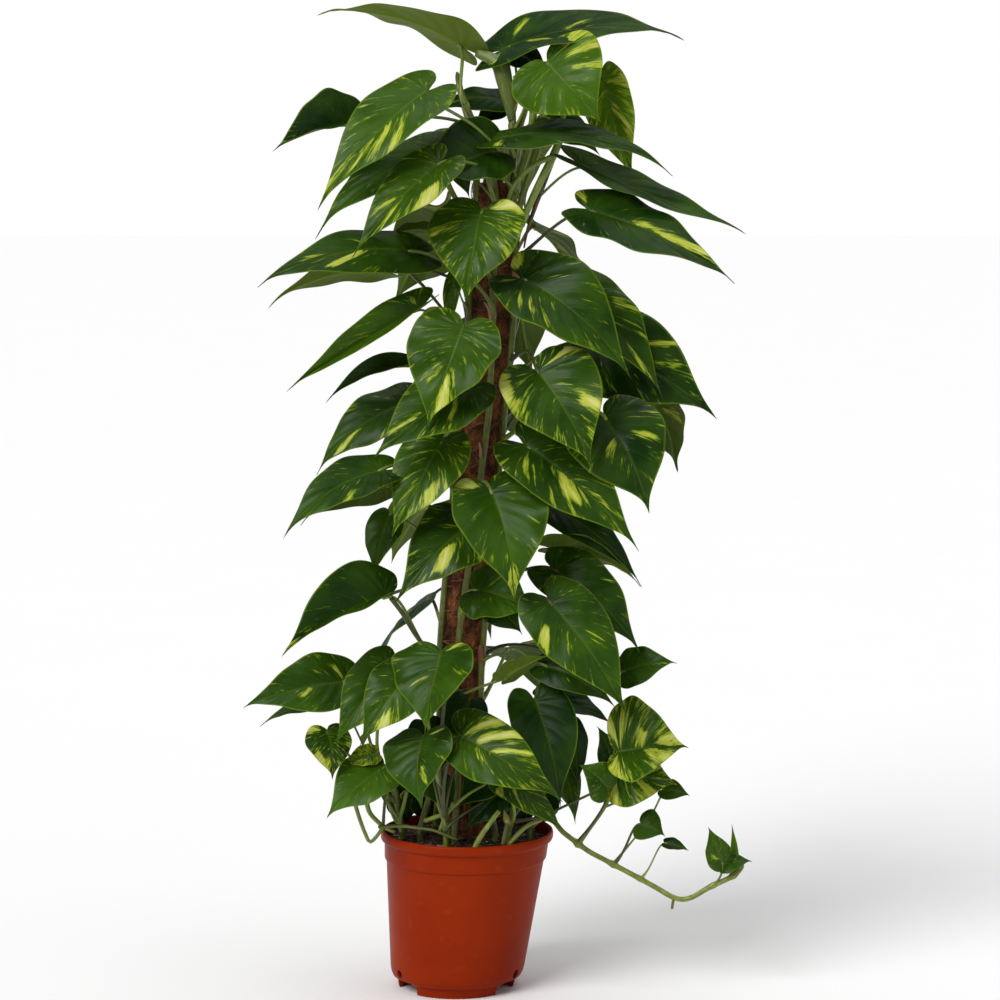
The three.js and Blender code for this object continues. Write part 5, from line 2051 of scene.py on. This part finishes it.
@dataclass
class Soil:
    """The peat: its uneven top, and the crumbs, bark and fibres that lie on it."""

    floor: float = 16.5
    top: float = 154.0
    edge: float = 150.0
    radius: float = 80.2
    uneven_radius: float = 79.0
    rings: int = 46
    sides: int = 132
    crumbs: int = 1500
    crumb_radius: float = 77.0
    straws: int = 150
    straw_radius: float = 68.0
    pot: NurseryPot = field(default_factory=NurseryPot)

    def level(self, x: float, y: float) -> float:
        """The height of the peat's top.

        Args:
            x: Millimetres right of the pot's axis.
            y: Millimetres behind it.

        Returns:
            The height.
        """
        far = math.hypot(x, y) / self.uneven_radius
        rise = self.top - (self.top - self.edge) * far ** 3
        return rise + 2.2 * noise.noise((x * 0.05, y * 0.05, 3)) + 1.2 * noise.noise((x * 0.17, y * 0.17, 5))

    def dress(self, effects: Effects) -> None:
        """Builds the bed, the crumbs and the straws.

        Args:
            effects: The shared groups.
        """
        earth = EarthFinish().make(effects)
        seat(self.bed().build("soil_bed", earth), "soil", "soil")
        seat(self.lumps().build("soil_crumbs", earth), "soil", "soil")
        seat(self.bits().build("soil_straws", earth), "soil", "soil")

    def bed(self) -> Stock:
        """The peat itself, down to the pot's floor.

        Returns:
            Its points and faces.
        """
        radii = np.linspace(0, self.radius, self.rings)[:0:-1]
        profile = [(0, self.floor), (62.2, self.floor), (77.2, 131), *[(r, 0) for r in radii], (0, 0)]
        points, faces = lathe(np.array(profile), self.sides)
        foot_middle, top_middle = len(points) - 2, len(points) - 1
        for i in (*range(2 * self.sides, foot_middle), top_middle):
            x, y, _ = points[i]
            inside = math.hypot(x, y) < self.uneven_radius
            fine = 0.8 * noise.noise((x * 0.5, y * 0.5, 9)) if inside else 0.0
            points[i, 2] = self.level(x, y) + fine
        return Stock().add(self.pot.lean(points), faces, skin_look=one_look(np.full(len(points), 0.3)))

    def lumps(self) -> Stock:
        """Crumbs of peat and bark, and a few pale grains.

        Returns:
            Their points and faces.
        """
        rng = np.random.default_rng(7)
        shape = bmesh.new()
        bmesh.ops.create_icosphere(shape, subdivisions=1, radius=1.0)
        ball = np.array([vertex.co for vertex in shape.verts])
        faces = np.array([[vertex.index for vertex in face.verts] for face in shape.faces])
        shape.free()
        stock = Stock()
        for _ in range(self.crumbs):
            far, turn = self.crumb_radius * math.sqrt(rng.uniform(0, 1)), rng.uniform(0, 2 * math.pi)
            x, y = far * math.cos(turn), far * math.sin(turn)
            size = rng.uniform(0.6, 2.0) * (1.7 if rng.uniform() > 0.93 else 1.0)
            pale = 1.0 if rng.uniform() > 0.975 else 0.0
            rough = ball * rng.uniform(0.65, 1.25, (len(ball), 1)) * rng.uniform(0.5, 1.3, 3) * size
            rough[:, 2] *= 0.7
            place = np.array([[x, y, self.level(x, y) + 0.3 * size]])
            shade = np.full(len(ball), rng.uniform(0.1, 1.1))
            stock.add(self.pot.lean(rough + place), [faces], skin_look=one_look(shade, pale))
        return stock

    def bits(self) -> Stock:
        """Short straws of wood fibre.

        Returns:
            Their points and faces.
        """
        rng = np.random.default_rng(19)
        share = np.linspace(-0.5, 0.5, 5)
        paths = []
        for _ in range(self.straws):
            far, turn = self.straw_radius * math.sqrt(rng.uniform(0, 1)), rng.uniform(0, 2 * math.pi)
            x, y, way = far * math.cos(turn), far * math.sin(turn), rng.uniform(0, math.pi)
            run = share * rng.uniform(5, 15)
            rise = self.level(x, y) + 1.0 + share * rng.normal(0, 1.5) + 1.2 * (0.25 - share ** 2)
            line = np.stack([x + run * math.cos(way), y + run * math.sin(way), rise], axis=1)
            paths.append(self.pot.lean(line))
        whole = np.array(paths)
        radii = rng.uniform(0.25, 0.6, len(whole))[:, None] * np.ones((1, len(share)))
        points, faces, _ = tubes(whole, radii, 4)
        each = 4 * len(share)
        tone = np.repeat(rng.uniform(0.6, 1.4, len(whole)), each)
        pale = np.repeat(rng.uniform(0.0, 0.35, len(whole)), each)
        return Stock().add(points, faces, skin_look=one_look(tone, pale))


@dataclass
class Studio:
    """The pale floor, the soft light and the camera."""

    floor_half: float = 9.0
    dim: float = 0.24
    sensor: float = 36.0
    picture: float = 1000.0
    far_clip: float = 60.0
    lamps: tuple[tuple[str, Point, float, float], ...] = (
        ("key_light", (-0.75, -0.9, 0.95), 2.5, 34),
        ("top_light", (0.15, 0.1, 1.0), 1.15, 60),
        ("fill_light", (0.95, -0.8, 0.35), 0.35, 50))

    def dress(self, effects: Effects) -> None:
        """Sets up all that isn't the object.

        Args:
            effects: The shared groups.
        """
        self.floor(effects)
        self.lights()
        self.surround()
        self.camera()

    def floor(self, effects: Effects) -> None:
        """A wide pale floor.

        Args:
            effects: The shared groups.
        """
        mesh = bpy.data.meshes.new("floor")
        half = self.floor_half
        mesh.from_pydata([(-half, -half, 0), (half, -half, 0), (half, half * 3, 0), (-half, half * 3, 0)],
                         [], [(0, 1, 2, 3)])
        mesh.materials.append(FloorFinish().make(effects))
        piece = put("floor", mesh)

    def lights(self) -> None:
        """Three wide soft lights, each with its way, strength and breadth in degrees."""
        for name, (x, y, z), energy, angle in self.lamps:
            lamp = bpy.data.lights.new(name, "SUN")
            lamp.energy, lamp.angle = energy, math.radians(angle)
            piece = put(name, lamp)
            piece.rotation_euler = (math.atan2(math.hypot(x, y), z), 0.0, math.atan2(y, x) + math.pi / 2)

    def surround(self) -> None:
        """White behind the plant, and a dimmer room around it."""
        world = bpy.data.worlds.new("surround")
        world.use_nodes = True
        graph = Graph(world.node_tree)
        back = world.node_tree.nodes["Background"]
        back.inputs["Color"].default_value = (1.0, 1.0, 1.0, 1.0)
        seen = graph.node("ShaderNodeLightPath").outputs["Is Camera Ray"]
        graph.feed(back.inputs["Strength"], graph.math("MULTIPLY_ADD", seen, 1.0 - self.dim, self.dim))
        bpy.context.scene.world = world
        bpy.context.scene.view_settings.view_transform = "Standard"

    def camera(self) -> None:
        """The photograph's view."""
        lens = bpy.data.cameras.new("camera")
        lens.sensor_width = self.sensor
        lens.lens = self.sensor * FOCAL / self.picture
        lens.clip_end = self.far_clip
        piece = put("camera", lens)
        piece.location = tuple((EYE + POT_PLACE) * MM)
        piece.rotation_euler = (math.pi / 2 - PITCH, 0.0, 0.0)
        bpy.context.scene.camera = piece


def main() -> None:
    """Builds the plant from the pot up, then the studio."""
    logging.basicConfig(level=logging.INFO, format="%(name)s: %(message)s")
    effects = Effects()
    pot = NurseryPot()
    pot.dress(effects)
    Soil(pot=pot).dress(effects)
    CoirPole().dress(effects)
    leaf_skin = LeafFinish().make(effects)
    stalk_skin = StalkFinish().make(effects)
    heart, small = Heart(56), Heart(34)
    vines = []
    for name, stem in STEMS.items():
        leaves = LEAVES.get(name, ()) + SMALL_LEAVES.get(name, ())
        vines.append(Vine(name, stem, leaves, FANS.get(name), STUBS.get(name, ())))
        vines[-1].dress(heart, small, leaf_skin, stalk_skin)
    climbers = tuple(vine for vine in vines if vine.stem.growth is Growth.CLIMBING)
    AerialRoots(vines=climbers).dress(HuskFinish().make(effects))
    Studio().dress(effects)


if __name__ == "__main__":
    main()
